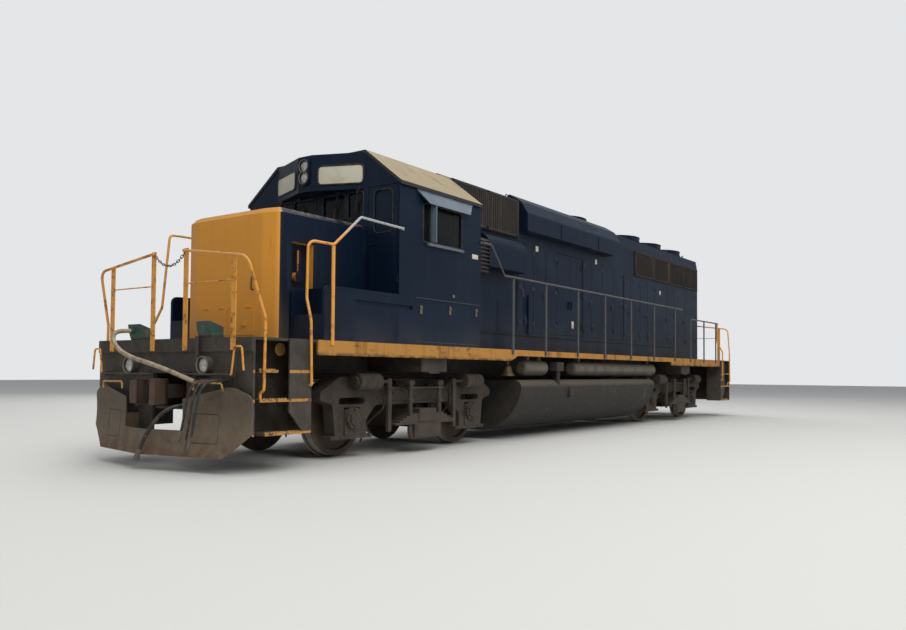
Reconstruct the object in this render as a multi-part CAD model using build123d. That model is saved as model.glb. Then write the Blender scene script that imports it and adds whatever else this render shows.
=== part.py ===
# Four-axle diesel-electric road locomotive with a low nose.
# Millimetres. +X points to the nose end, +Y to the left side, +Z up.
# The origin is on the floor under the middle of the machine. It stands on the
# tips of its wheel flanges, so the top of the rail lies one flange height up.
from build123d import *
from math import atan2, degrees, radians, sqrt, tan
import os

# Running gear
truck_centres = 10363
wheelbase = 2743
wheel_diameter = 1016
flange_height = 28
flange_width = 32
wheel_width = 140
back_to_back = 1353
axle_diameter = 200
journal_diameter = 160
journal_clearance = 0.6
rail = flange_height
axle_height = rail + wheel_diameter / 2
truck_x = truck_centres / 2
seat_gap = 0.3

# Main frame and deck
end_plate_x = 8530
end_plate_thickness = 30
pilot_face = end_plate_x + end_plate_thickness
deck_half_width = 1500
deck_top = rail + 1503
deck_thickness = 30
deck_underside = deck_top - deck_thickness
sill_thickness = 24
sill_outer_y = deck_half_width + sill_thickness
sill_bottom = rail + 1320
sill_shallow_bottom = rail + 1405
sill_front_x = 7600
sill_rear_x = -7640
sill_slope_start_x = 3200
sill_slope_end_x = 3000
sill_step_x = -4020
centre_sill_inner = 200
centre_sill_outer = 420
centre_sill_bottom = rail + 1090
bolster_bottom = centre_sill_bottom + 40
bolster_half_length = 300
jacking_pad_z = rail + 1105
jacking_pad_half_length = 120
jacking_pad_inset = 60
jacking_pad_width = 100
centre_plate_radius = 330
centre_plate_bottom = rail + 1010
draft_pocket_rear_x = 7560
draft_pocket_half_width = 330
draft_pocket_bottom = rail + 660
draft_pocket_wall = 30

# Pilots: the end plates with their corner steps
pilot_bottom = rail + 400
pilot_beam_depth = 160
pilot_beam_projection = 22
step_inner_y = deck_half_width - 350
step_tread_thickness = 30
well_rear_x = 7700
well_wall = 16
step_table = [  # height over the rail, rear x, front x
    (427, 7830, 8400),
    (805, 8050, 8480),
    (1137, 8215, 8490),
]
step_side_front_x = 8045

# Couplers
coupler_height = rail + 876
coupler_pin_x = 7950
coupler_pin_diameter = 90
coupler_shank_half_width = 65
coupler_shank_half_height = 80
coupler_head_half_height = 148
coupler_head_x = 8640
knuckle_pin_x = 8905
knuckle_pin_y = 118
knuckle_pin_diameter = 44
knuckle_half_height = 130
knuckle_slot_clearance = 6

# Snow plow
plow_tip_x = 8960
plow_wing_x = 8650
plow_half_width = deck_half_width + 20
plow_bottom = rail + 150
plow_top = rail + 950
plow_thickness = 16
plow_curve = 70
plow_notch_half_width = 560
plow_notch_bottom = rail + 440
plow_notch_top = rail + 800
plow_hatch = (700, 1080, rail + 300, rail + 640)  # inner y, outer y, bottom, top

# Trucks
truck_frame_outer = 1110
truck_frame_inner = 930
truck_frame_end = 1960
truck_mid_top = rail + 917
truck_journal_top = rail + 1055
truck_arch_top = rail + 669
truck_end_top = rail + 855
truck_end_bottom = rail + 754
pedestal_bottom = rail + 285
pedestal_outer = 335
pedestal_inner = 285
pedestal_slot_top = rail + 650
journal_box_width = 300
journal_slot = (500, 90, rail + 735)  # length, height, middle height
journal_cover_y = 1190
tie_bar_length = 780
transom_x = 560
transom_half_width = 90
bolster_top = centre_plate_bottom - seat_gap
hanger_x = 340
hanger_y = 1270
hanger_diameter = 72
hanger_top = rail + 940
hanger_cap_top = rail + 1005
hanger_bottom = rail + 200
spring_half_length = 700
spring_leaves = 5
spring_leaf = 30
spring_bottom = rail + 385
brake_cylinder_diameter = 230
brake_cylinder_length = 440
brake_cylinder_x = 1220
brake_cylinder_y = 1232
brake_cylinder_z = rail + 990
brake_lever_x = 760

# Fuel tank and air reservoirs
tank_front_x = 2820
tank_rear_x = -3030
tank_bottom = rail + 135
tank_top = rail + 1000
tank_half_width = deck_half_width - 10
tank_flat_half_width = 720
tank_shoulder = tank_top - 120
tank_top_radius = 190
tank_hanger_inset = 500
filler_x = 1490
reservoir_diameter = 270
reservoir_y = deck_half_width - 210
reservoir_z = rail + 1212
reservoir_end_radius = 60
reservoir_strap_inset = 300
reservoir_spans = [(-3300, 700), (1750, 2530)]  # rear end x, front end x

# Nose
nose_front_x = 7720
nose_corner_x = 7660
nose_half_width = 900
nose_panel_half_width = 640
nose_top = rail + 3180
nose_top_bevel = 70
cab_front_x = 6100
brake_recess = (7090, 7462, rail + 1558, rail + 2760, 120)  # rear x, front x, bottom, top, depth
nose_door = (520, rail + 1580, rail + 1930)  # half width, bottom, top

# Battery boxes beside the nose
box_front_x = 7500
box_inner_y = nose_half_width + 12
box_top = rail + 2174
box_step_x = 7230
box_step_top = rail + 1823
box_side_wall = 40
vent_slot = (5806, 6953, rail + 1981, rail + 2034, 25)  # rear x, front x, bottom, top, depth

# Cab
cab_rear_x = 4130
cab_half_width = sill_outer_y
cab_wall = 45
cab_floor_top = rail + 2150
cab_floor_thickness = 40
eave_y = cab_half_width + 36
eave_z = rail + 3729
roof_flat_half_width = 900
roof_flat_z = rail + 4240
roof_thickness = 40
roof_fascia = roof_thickness * 1.25
roof_overhang = 14
side_window = (4650, 5587, rail + 2962, rail + 3510)  # rear x, front x, sill, head
side_window_radius = 60
drip_line_z = rail + 2155
door_outer_y = deck_half_width - 10
door_width = 535
door_inner_y = door_outer_y - door_width
door_bottom = box_top + 12
door_top = rail + 3690
door_thickness = 42
door_gap = 8
hinge_pin_radius = 9
hinge_pin_length = 100
hinge_offset = hinge_pin_radius + seat_gap
windshields = [(75, 525), (565, 860)]  # inner y, outer y of the panes beside the middle post
windshield_z = (rail + 3290, rail + 3660)  # sill, head
end_window = (door_inner_y + 105, door_outer_y - 90, rail + 3040, rail + 3640)  # inner y, outer y, sill, head
end_window_radius = 100
glass_thickness = 10
number_box_front_x = 6400
number_box_bottom = rail + 3690
number_box_half_width = 900
number_box_nose_half = 130
awning_rear_x = 4384
awning_front_x = 5740
awning_taper = 180
awning_top = rail + 3676
awning_bottom = rail + 3490
awning_reach = 110
awning_thickness = 12
arm_rest = (4640, 5490, rail + 2915, rail + 2950, 50)  # rear x, front x, bottom, top, reach

# Long hood
hood_half_width = 900
hood_rear_x = -7630
hood_side_top = rail + 4230
hood_flat_half_width = hood_half_width - 240
hood_flat_z = rail + 4350
hood_wall = 30
intake_rear_x = 2056
radiator_front_x = -2600
radiator_shoulder_inset = 40
ledge_z = rail + 1820
ledge_reach = 16
relief = 8
seam_width = 14
intake_box_y = hood_half_width + 60
intake_box_bottom = rail + 3560
intake_box_top = rail + 4238
bulge_front_x = 3310
bulge_y = hood_half_width + 250
bulge_bottom = rail + 2908
bulge_top = rail + 3480
louvre_front_x = cab_rear_x - 40
louvre_z = (rail + 2772, rail + 3348)  # bottom, top
louvre_blades = 9
blister_front_x = 1980
blister_rear_x = -2060
blister_rear_slant = 380
blister_y = hood_half_width + 200
blister_bottom = rail + 3664
blister_shoulder = rail + 4010
blister_haunch = 50
blister_top = rail + 4390
blister_top_y = hood_flat_half_width + 60
grille_rear_x = -7575
grille_front_x = -3290
grille_split_x = -5400
grille_bottom = rail + 3420
grille_top = rail + 4010
grille_reach = 24
duct = (1570, 1670, rail + 1839, rail + 2560)  # rear x, front x, bottom, top
seams_front = [971, 1450, 1780]
seams_rear = [-1013, -1513, -2075]
seams_radiator = [-3038, -3596, -4044, -4510, -5344, -5810, -6625]

# Engine-room doors: two leaves a side
door_leaf_width = 530
engine_door_bottom = ledge_z + 60
engine_door_top = rail + 3480
engine_door_x = -560
engine_door_thickness = 30
engine_door_middle = engine_door_x + door_leaf_width
engine_handle_z = (rail + 2400, rail + 2560)  # bottom, top

# Fans
fan_diameter = 1219
fan_clearance = 12
cowl_wall = 12
cowl_top = rail + 4480
cowl_outer = fan_diameter / 2 + fan_clearance + cowl_wall
cowl_flange = 20
cowl_depth = 100
guard_bar = 14
fan_hub_bottom = hood_flat_z - 40
radiator_fan_x = [-4080, -5480, -6880]
brake_fan_x = -1150
fan_hub_diameter = 320
fan_blades = 8

# Handrails
rail_diameter = 34
rail_radius = rail_diameter / 2
rail_y = sill_outer_y + 19
corner_rail_y = rail_y + 18
inner_rail_y = deck_half_width - 70
side_rail_z = rail + 2690
side_rail_rear_x = -4690
cab_rail_z = rail + 3142
rear_rail_z = rail + 2490
rear_rail_front_x = -5260
rear_rail_rear_x = -7300
rail_bracket = 40
stanchion_width = 56
stanchion_x = [3170, 2070, 842, -337, -1622, -2906, -4220]
rear_stanchion_x = [-5300, -6300, -7260]
centre_post_y = 320
flat_post_y = deck_half_width - 310
post_width = 80
post_thickness = 12
centre_post_top = rail + 2575
flat_post_top = rail + 2440

# Lamps
headlight_radius = 78
headlight_z = [rail + 4065, rail + 3895]
ditch_light_y = 730
ditch_light_z = rail + 1185
ditch_light_radius = 98
ditch_light_depth = 45

# Front hoses and their fittings
brake_pipe_y = 480
brake_pipe_z = coupler_height - 156
brake_pipe_front_x = 8650
control_pipe_y = [930, 1020, 1110]
control_pipe_z = rail + 1012
control_pipe_front_x = 8740
receptacle_y = 680
lever_reach = 110
lever_z = rail + 1080
lever_handle_top = rail + 1395
lever_end_inset = 25
jumper_socket_y = 660
jumper_socket_z = rail + 985
brake_hose_diameter = 46
control_hose_diameter = 26
jumper_diameter = 54


def block(x0, x1, y0, y1, z0, z1):
    """A box between two corners, in either order."""
    return Pos((x0 + x1) / 2, (y0 + y1) / 2, (z0 + z1) / 2) * Box(abs(x1 - x0), abs(y1 - y0), abs(z1 - z0))


def prism(axis, low, high, *corners):
    """Extrude an outline along an axis. A corner is (u, v) or (u, v, radius)."""
    place = {
        "x": lambda u, v: (low, u, v),
        "y": lambda u, v: (u, low, v),
        "z": lambda u, v: (u, v, low),
    }[axis]
    direction = {"x": (1, 0, 0), "y": (0, 1, 0), "z": (0, 0, 1)}[axis]
    points = [place(corner[0], corner[1]) for corner in corners]
    radii = [corner[2] if len(corner) > 2 else 0 for corner in corners]
    line = FilletPolyline(*points, radius=radii, close=True) if any(radii) else Polyline(*points, close=True)
    return extrude(make_face(line), amount=high - low, dir=direction)


def rounded(axis, low, high, u0, u1, v0, v1, radius):
    """A plate with four rounded corners, as thick as low to high along an axis."""
    return prism(axis, low, high, (u0, v0, radius), (u1, v0, radius), (u1, v1, radius), (u0, v1, radius))


def rod_x(x0, x1, y, z, radius):
    """A round bar along X."""
    return Pos((x0 + x1) / 2, y, z) * Rot(0, 90, 0) * Cylinder(radius, abs(x1 - x0))


def rod_y(x, y0, y1, z, radius):
    """A round bar along Y."""
    return Pos(x, (y0 + y1) / 2, z) * Rot(90, 0, 0) * Cylinder(radius, abs(y1 - y0))


def rod_z(x, y, z0, z1, radius):
    """A round bar along Z."""
    return Pos(x, y, (z0 + z1) / 2) * Cylinder(radius, abs(z1 - z0))


def tube(points, radius, bend):
    """A round bar bent at each inner point to a radius, or to a list of radii."""
    path = FilletPolyline(*points, radius=bend) if len(points) > 2 else Line(*points)
    start = Plane(origin=path @ 0, z_dir=path % 0)
    return sweep(start * Circle(radius), path=path)


def hose(points, diameter):
    """A bent round hose whose arcs take nearly half of the shorter run at each bend."""
    vectors = [Vector(*point) for point in points]
    radii = []
    for before, here, after in zip(vectors, vectors[1:], vectors[2:]):
        turn = (here - before).get_angle(after - here)
        run = min((here - before).length, (after - here).length)
        radii.append(0.45 * run / tan(radians(turn) / 2))
    return tube(points, diameter / 2, radii)


def grooved(low_x, high_x, inner_y, outer_y, low_z, high_z, grooves, width, depth):
    """A plate on a side wall with upright grooves at the places given."""
    points = [(low_x, inner_y), (high_x, inner_y), (high_x, outer_y)]
    for groove in sorted(grooves, reverse=True):
        points.append((groove + width / 2, outer_y))
        points.append((groove + width / 2, outer_y - depth))
        points.append((groove - width / 2, outer_y - depth))
        points.append((groove - width / 2, outer_y))
    points.append((low_x, outer_y))
    return prism("z", low_z, high_z, *points)


def other_side(shape):
    return mirror(shape, about=Plane.XZ)


def both_sides(shape):
    return [shape, other_side(shape)]


def other_end(shape):
    """The same shape at the opposite corner, turned half round."""
    return Rot(0, 0, 180) * shape


def join(shapes):
    whole = shapes[0]
    for shape in shapes[1:]:
        whole = whole + shape
    return whole


def save(name, *shapes):
    """Write one node with all the solids of its shapes."""
    solids = [solid for shape in shapes for solid in shape.solids()]
    node = solids[0] if len(solids) == 1 else Compound(solids)
    node.label = name
    export_step(node, f"parts/{name}.step")


os.makedirs("parts", exist_ok=True)


# Main frame: deck, centre sills, draft pockets, bolsters, centre plates and jacking pads
def make_underframe():
    pieces = [block(-end_plate_x, end_plate_x, -deck_half_width, deck_half_width, deck_underside, deck_top)]
    for side in (1, -1):
        pieces.append(block(-draft_pocket_rear_x, draft_pocket_rear_x, side * centre_sill_inner,
                            side * centre_sill_outer, centre_sill_bottom, deck_underside))
    for end in (1, -1):
        pocket = block(end * draft_pocket_rear_x, end * end_plate_x, -draft_pocket_half_width,
                       draft_pocket_half_width, draft_pocket_bottom, deck_underside)
        inner = draft_pocket_half_width - draft_pocket_wall
        hollow = block(end * (draft_pocket_rear_x + draft_pocket_wall), end * (end_plate_x + 1), -inner,
                       inner,
                       draft_pocket_bottom + draft_pocket_wall, centre_sill_bottom)
        pieces.append(pocket - hollow)
        centre = end * truck_x
        pieces.append(rod_z(centre, 0, centre_plate_bottom, bolster_bottom, centre_plate_radius))
        pieces.append(block(centre - bolster_half_length, centre + bolster_half_length,
                            jacking_pad_inset - deck_half_width, deck_half_width - jacking_pad_inset,
                            bolster_bottom, deck_underside))
        for side in (1, -1):
            pad_outer = deck_half_width - jacking_pad_inset
            pieces.append(block(centre - jacking_pad_half_length, centre + jacking_pad_half_length,
                                side * (pad_outer - jacking_pad_width), side * pad_outer, jacking_pad_z,
                                bolster_bottom + 5))
    save("main_frame", join(pieces))


def make_side_sills():
    outline = [
        (sill_rear_x, sill_bottom), (sill_step_x, sill_bottom), (sill_step_x, sill_shallow_bottom),
        (sill_slope_end_x, sill_shallow_bottom), (sill_slope_start_x, sill_bottom),
        (sill_front_x, sill_bottom), (sill_front_x, deck_top), (sill_rear_x, deck_top),
    ]
    sill = prism("y", deck_half_width, sill_outer_y, *outline)
    save("side_sills", *both_sides(sill))


# Pilots: end plate with its coupler opening and top beam, and the corner steps
def pilot():
    plate = block(end_plate_x, pilot_face, -deck_half_width, deck_half_width, pilot_bottom, deck_top)
    opening = block(end_plate_x - 1, pilot_face + 1, -draft_pocket_half_width, draft_pocket_half_width,
                    pilot_bottom - 1, centre_sill_bottom)
    beam = block(pilot_face - 1, pilot_face + pilot_beam_projection, -deck_half_width, deck_half_width,
                 deck_top - pilot_beam_depth, deck_top)
    pieces = [plate - opening, beam]
    for side in (1, -1):
        pieces.append(block(well_rear_x, end_plate_x, side * step_inner_y, side * (step_inner_y - well_wall),
                            pilot_bottom, deck_underside))
        pieces.append(block(well_rear_x, well_rear_x + well_wall, side * step_inner_y, side * deck_half_width,
                            pilot_bottom, deck_underside))
        outline = [
            (well_rear_x, pilot_bottom), (well_rear_x + 120, pilot_bottom),
            (step_side_front_x, pilot_bottom + 260),
            (step_side_front_x, deck_top), (well_rear_x, deck_top),
        ]
        low, high = sorted((side * deck_half_width, side * sill_outer_y))
        pieces.append(prism("y", low, high, *outline))
        for height, rear, front in step_table:
            z = rail + height
            tread = block(rear, front, side * step_inner_y, side * sill_outer_y, z - step_tread_thickness, z)
            tie = block(front - 16, end_plate_x, side * step_inner_y, side * (step_inner_y + 16),
                        z - step_tread_thickness, z)
            pieces += [tread, tie]
    return join(pieces)


def make_pilots():
    front = pilot()
    save("pilots", front, other_end(front))


# Snow plow: two curved wings that meet in a point under the coupler, with a hatch in each wing
def make_plow():
    middle_z = (plow_bottom + plow_top) / 2 + 60
    rake = 40
    face = ThreePointArc((0, plow_bottom), (-plow_curve, middle_z), (-rake, plow_top))
    back = ThreePointArc((-plow_thickness, plow_bottom), (-plow_curve - plow_thickness, middle_z),
                         (-rake - plow_thickness, plow_top))
    section = make_face(Plane.XZ * Wire([face, Line(face @ 1, back @ 1), back, Line(back @ 0, face @ 0)]))
    sweep_angle = degrees(atan2(plow_tip_x - plow_wing_x, plow_half_width))
    hatch_inner, hatch_outer, hatch_bottom, hatch_top = plow_hatch
    wings = []
    for side in (1, -1):
        long = extrude(section, amount=plow_half_width + 500, dir=(0, side, 0))
        wing = Pos(plow_tip_x, 0, 0) * Rot(0, 0, side * sweep_angle) * (Pos(0, -side * 100, 0) * long)
        trim = prism("x", pilot_face - 300, plow_tip_x + 100,
                     (0, plow_bottom - 5), (side * plow_half_width * 0.78, plow_bottom - 5),
                     (side * plow_half_width, rail + 420, 40), (side * plow_half_width, rail + 840, 90),
                     (side * (plow_half_width - 260), plow_top, 260),
                     (side * plow_notch_half_width, plow_notch_top, 20),
                     (side * plow_notch_half_width, plow_notch_bottom, 30), (0, plow_notch_bottom))
        rim = rounded("x", pilot_face, plow_tip_x, side * hatch_inner, side * hatch_outer, hatch_bottom,
                      hatch_top, 30)
        seam = rim - rounded("x", pilot_face - 1, plow_tip_x + 1, side * (hatch_inner + 12),
                             side * (hatch_outer - 12), hatch_bottom + 12, hatch_top - 12, 20)
        skin = Pos(-plow_thickness / 2, 0, 0) * wing
        wings.append((wing & trim) - (seam - skin))
    plow = wings[0] + wings[1]
    for y in (-1100, -620, 620, 1100):
        blade_x = plow_tip_x - abs(y) * tan(radians(sweep_angle)) - plow_curve
        plow = plow + block(pilot_face, blade_x, y - 12, y + 12, pilot_bottom + 20, pilot_bottom + 200)
    save("snow_plow", plow)


# Fuel tank with its filler and sight glass, and the air reservoirs
def make_tank():
    side_bottom = (0, tank_flat_half_width, tank_bottom)
    side_top = (0, tank_half_width, tank_shoulder)
    side_mid = (0, (tank_flat_half_width + 2.3 * tank_half_width) / 3.3, tank_bottom + 270)
    top_edge = (0, tank_half_width - tank_top_radius, tank_top)
    right = ThreePointArc(side_bottom, side_mid, side_top)
    corner = ThreePointArc(side_top, (0, tank_half_width - 60, tank_top - 25), top_edge)
    loop = Wire([
        Line((0, -tank_flat_half_width, tank_bottom), side_bottom).edge(), right.edge(), corner.edge(),
        Line(top_edge, (0, -top_edge[1], tank_top)).edge(),
        mirror(corner, about=Plane.XZ).edge(), mirror(right, about=Plane.XZ).edge(),
    ])
    tank = Pos(tank_rear_x, 0, 0) * extrude(Face(loop), amount=tank_front_x - tank_rear_x, dir=(1, 0, 0))
    pieces = [tank]
    for x in (tank_front_x - tank_hanger_inset, tank_rear_x + tank_hanger_inset):
        pieces.append(block(x - 60, x + 60, -centre_sill_outer, centre_sill_outer, tank_top - 5,
                            centre_sill_bottom - seat_gap))
    for side in (1, -1):
        neck_y = tank_half_width - 40
        pieces.append(rod_z(filler_x, side * neck_y, tank_top - 90, tank_top + 165, 45))
        pieces.append(block(filler_x - 130, filler_x + 130, side * (neck_y - 90), side * (neck_y + 60),
                            tank_top + 160, sill_bottom))
        pieces.append(rounded("y", *sorted((side * (tank_half_width - 90), side * (tank_half_width + 15))),
                              filler_x - 510, filler_x - 390, tank_top - 330, tank_top - 110, 50))
    save("fuel_tank", join(pieces))


def make_reservoirs():
    shapes = []
    for rear, front in reservoir_spans:
        shell = rod_x(rear, front, reservoir_y, reservoir_z, reservoir_diameter / 2)
        shell = fillet(shell.edges().filter_by(GeomType.CIRCLE), reservoir_end_radius)
        inset = min(reservoir_strap_inset, (front - rear) / 4)
        for x in (rear + inset, front - inset):
            shell = shell + block(x - 30, x + 30, reservoir_y - 40, reservoir_y + 40, reservoir_z,
                                  deck_underside - seat_gap)
        shapes += both_sides(shell)
    save("air_reservoirs", *shapes)


# Nose, with the hand brake in a recess of its left side
def make_nose():
    plan = prism("z", deck_top, nose_top,
                 (cab_front_x, -nose_half_width), (nose_corner_x, -nose_half_width, 90),
                 (nose_front_x, -nose_panel_half_width, 150), (nose_front_x, nose_panel_half_width, 150),
                 (nose_corner_x, nose_half_width, 90), (cab_front_x, nose_half_width))
    top = plan.faces().sort_by(Axis.Z)[-1]
    keep = [edge for edge in top.edges() if edge.center().X > cab_front_x + 5]
    nose = chamfer(keep, nose_top_bevel)
    rear, front, low, high, depth = brake_recess
    nose = nose - block(rear, front, nose_half_width - depth, nose_half_width + 1, low, high)
    lever_x = (rear + front) / 2
    lever_y = nose_half_width - depth + 50
    nose = nose + rod_y(lever_x, nose_half_width - depth - 1, lever_y + 15, low + 780, 70)
    nose = nose + block(lever_x - 18, lever_x + 18, lever_y - 10, lever_y + 10, low + 780, high - 150)
    nose = nose + rod_z(lever_x, lever_y, high - 260, high - 90, 24)
    half, low, high = nose_door
    for side in (1, -1):
        door = block(nose_front_x - 5, nose_front_x + 8, side * 12, side * half, low, high)
        latch = rounded("x", nose_front_x + 7, nose_front_x + 22, side * (half - 150), side * (half - 230),
                        low + 110, low + 150, 10)
        nose = nose + door + latch
        for y in (side * 110, side * (half - 110)):
            nose = nose + rod_y(nose_front_x + 10, y - 45, y + 45, high + 4, 9)
    save("nose", nose)


def make_battery_boxes():
    body = prism("y", box_inner_y, sill_outer_y,
                 (cab_front_x + 1, deck_top), (box_front_x, deck_top), (box_front_x, box_top, 90),
                 (cab_front_x + 1, box_top))
    notch = block(box_step_x, box_front_x + 1, box_inner_y + box_side_wall, sill_outer_y - box_side_wall,
                  box_step_top, box_top + 1)
    rear, front, low, high, depth = vent_slot
    slot = block(cab_front_x, front, sill_outer_y - depth, sill_outer_y + 1, low, high)
    lid_step = block(cab_front_x + 60, box_step_x - 60, box_inner_y + 60, sill_outer_y - 60, box_top - 1,
                     box_top + 5)
    box = body - notch - slot + lid_step
    save("battery_boxes", *both_sides(box))


# Cab shell: one section, hollowed, with its doorways and windows cut
def roof_under(y, drop):
    """Height of the roof's slope at a distance y from the middle, less a drop."""
    slope = (roof_flat_z - eave_z) / (eave_y - roof_flat_half_width)
    return min(roof_flat_z, eave_z + (eave_y - abs(y)) * slope) - drop


def side_window_plate(low_y, high_y):
    rear, front, low, high = side_window
    return rounded("y", low_y, high_y, rear, front, low, high, side_window_radius)


def end_window_plate(low_x, high_x, side):
    inner, outer, low, high = end_window
    return rounded("x", low_x, high_x, side * inner, side * outer, low, high, end_window_radius)


def windshield_plate(low_x, high_x, inner, outer):
    low, high = windshield_z
    return rounded("x", low_x, high_x, inner, outer, low, high, 40)


def make_cab():
    section = [
        (-cab_half_width, deck_top), (cab_half_width, deck_top),
        (cab_half_width, roof_under(cab_half_width, roof_fascia)),
        (roof_flat_half_width, roof_under(0, roof_fascia)),
        (-roof_flat_half_width, roof_under(0, roof_fascia)),
        (-cab_half_width, roof_under(cab_half_width, roof_fascia)),
    ]
    outer = prism("x", cab_rear_x, cab_front_x, *section)
    inner_half = cab_half_width - cab_wall
    inner_section = [
        (-inner_half, deck_top + 5), (inner_half, deck_top + 5),
        (inner_half, roof_under(inner_half, roof_fascia) + 1),
        (roof_flat_half_width, roof_under(0, roof_fascia) + 1),
        (-roof_flat_half_width, roof_under(0, roof_fascia) + 1),
        (-inner_half, roof_under(inner_half, roof_fascia) + 1),
    ]
    cab = outer - prism("x", cab_rear_x + cab_wall, cab_front_x - cab_wall, *inner_section)
    rear, front, low, high, depth = vent_slot
    for side in (1, -1):
        y0, y1 = sorted((side * (cab_half_width + 10), side * (inner_half - 10)))
        cab = cab - side_window_plate(y0, y1)
        cab = cab - block(rear, cab_front_x + 1, side * (cab_half_width - depth), side * (cab_half_width + 1),
                          low, high)
        cab = cab + block(cab_rear_x + 16, awning_front_x, side * (cab_half_width - 1),
                          side * (cab_half_width + 7),
                          drip_line_z - 6, drip_line_z + 6)
        for inner, pane_outer in windshields:
            cab = cab - windshield_plate(cab_front_x - cab_wall - 5, cab_front_x + 5, side * inner,
                                         side * pane_outer)
    cab = cab - block(cab_front_x - cab_wall - 5, cab_front_x + 5, door_inner_y - door_gap,
                      door_outer_y + door_gap,
                      door_bottom - door_gap, door_top + door_gap)
    cab = cab - block(cab_rear_x - 5, cab_rear_x + cab_wall + 5, -door_outer_y - door_gap,
                      door_gap - door_inner_y,
                      door_bottom - door_gap, door_top + door_gap)
    cab = cab - end_window_plate(cab_front_x - cab_wall - 5, cab_front_x + 5, -1)
    cab = cab - end_window_plate(cab_rear_x - 5, cab_rear_x + cab_wall + 5, 1)
    save("cab_shell", cab)


def make_cab_roof():
    section = [
        (-eave_y, eave_z - roof_fascia), (-eave_y, eave_z), (-roof_flat_half_width, roof_flat_z),
        (roof_flat_half_width, roof_flat_z), (eave_y, eave_z), (eave_y, eave_z - roof_fascia),
        (roof_flat_half_width, roof_flat_z - roof_fascia), (-roof_flat_half_width, roof_flat_z - roof_fascia),
    ]
    roof = prism("x", cab_rear_x, cab_front_x + roof_overhang, *section)
    pod = prism("x", cab_rear_x + 420, cab_rear_x + 1120, (-330, roof_flat_z - 5), (330, roof_flat_z - 5),
                (330, roof_flat_z + 50, 30), (-330, roof_flat_z + 50, 30))
    dome = rod_z(cab_rear_x + 1330, 300, roof_flat_z - 5, roof_flat_z + 46, 60)
    whip = rod_z(cab_rear_x + 1500, -260, roof_flat_z - 5, roof_flat_z + 120, 14)
    save("cab_roof", roof + pod + dome + whip)


# Number-board box with the headlight housing in its middle
def make_number_box():
    top = roof_flat_z - 30
    plan = prism("z", number_box_bottom, top,
                 (cab_front_x, -number_box_half_width), (number_box_front_x, -number_box_nose_half, 40),
                 (number_box_front_x, number_box_nose_half, 40), (cab_front_x, number_box_half_width))
    above = [
        (-eave_y, eave_z - roof_fascia), (-roof_flat_half_width, roof_flat_z - roof_fascia),
        (roof_flat_half_width, roof_flat_z - roof_fascia), (eave_y, eave_z - roof_fascia),
        (eave_y, roof_flat_z + 10), (-eave_y, roof_flat_z + 10),
    ]
    box = plan - prism("x", cab_front_x - 1, cab_front_x + roof_overhang, *above)
    middle = (headlight_z[0] + headlight_z[1]) / 2
    shell = rounded("x", number_box_front_x - 60, number_box_front_x + 34, -headlight_radius - 32,
                    headlight_radius + 32, middle - 200, middle + 200, 90)
    for z in headlight_z:
        shell = shell - rod_x(number_box_front_x + 10, number_box_front_x + 35, 0, z, headlight_radius + 8)
    save("number_board_box", box + shell)


def make_cab_glass():
    panes = []
    mid_y = cab_half_width - cab_wall / 2
    mid_x = cab_front_x - cab_wall / 2
    half = glass_thickness / 2
    for side in (1, -1):
        panes.append(side_window_plate(side * mid_y - half, side * mid_y + half))
        for inner, outer in windshields:
            panes.append(windshield_plate(mid_x - half, mid_x + half, side * inner, side * outer))
    panes.append(end_window_plate(mid_x - half, mid_x + half, -1))
    mid_x = cab_rear_x + cab_wall / 2
    panes.append(end_window_plate(mid_x - half, mid_x + half, 1))
    save("cab_glass", *panes)


# Cab interior: floor, control stand with its desk, electrical cabinet and two seats
def make_cab_interior():
    inner = cab_half_width - cab_wall
    floor = block(cab_rear_x + cab_wall, cab_front_x - cab_wall, -inner, inner,
                  cab_floor_top - cab_floor_thickness, cab_floor_top)
    stand = block(5300, 5850, -1250, -760, cab_floor_top, cab_floor_top + 900)
    desk = prism("x", 5250, 5870, (-1280, cab_floor_top + 860), (-720, cab_floor_top + 860),
                 (-720, cab_floor_top + 960, 30), (-1280, cab_floor_top + 1120, 30))
    cabinet = block(cab_rear_x + cab_wall + 1, cab_rear_x + cab_wall + 500, -700, 1000, cab_floor_top,
                    cab_floor_top + 1650)
    pieces = [floor, stand, desk, cabinet]
    for x, y in ((5050, -1150), (5250, 1100)):
        pieces.append(rod_z(x, y, cab_floor_top, cab_floor_top + 420, 50))
        pieces.append(block(x - 220, x + 220, y - 220, y + 220, cab_floor_top + 420, cab_floor_top + 520))
        pieces.append(block(x - 240, x - 160, y - 220, y + 220, cab_floor_top + 420, cab_floor_top + 1050))
    save("cab_interior", join(pieces))


# Sun awnings hinged over the side windows, and the arm rests under them
def make_awnings():
    wall = cab_half_width
    plate = prism("x", awning_rear_x, awning_front_x, (wall, awning_top), (wall + 14, awning_top),
                  (wall + awning_reach, awning_bottom),
                  (wall + awning_reach - awning_thickness, awning_bottom),
                  (wall, awning_top - 2 * awning_thickness))
    outline = [
        (awning_rear_x, awning_top + 1), (awning_front_x, awning_top + 1),
        (awning_front_x - awning_taper, awning_bottom - 1), (awning_rear_x + awning_taper, awning_bottom - 1),
    ]
    visor = plate & prism("y", wall - 1, wall + awning_reach + 1, *outline)
    visor = visor + rod_x(awning_rear_x, awning_front_x, wall + 12, awning_top - 2, 10)
    rear, front, low, high, reach = arm_rest
    rest = rounded("y", wall, wall + reach, rear, front, low, high, 12)
    save("awnings", *both_sides(visor), *both_sides(rest))


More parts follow.
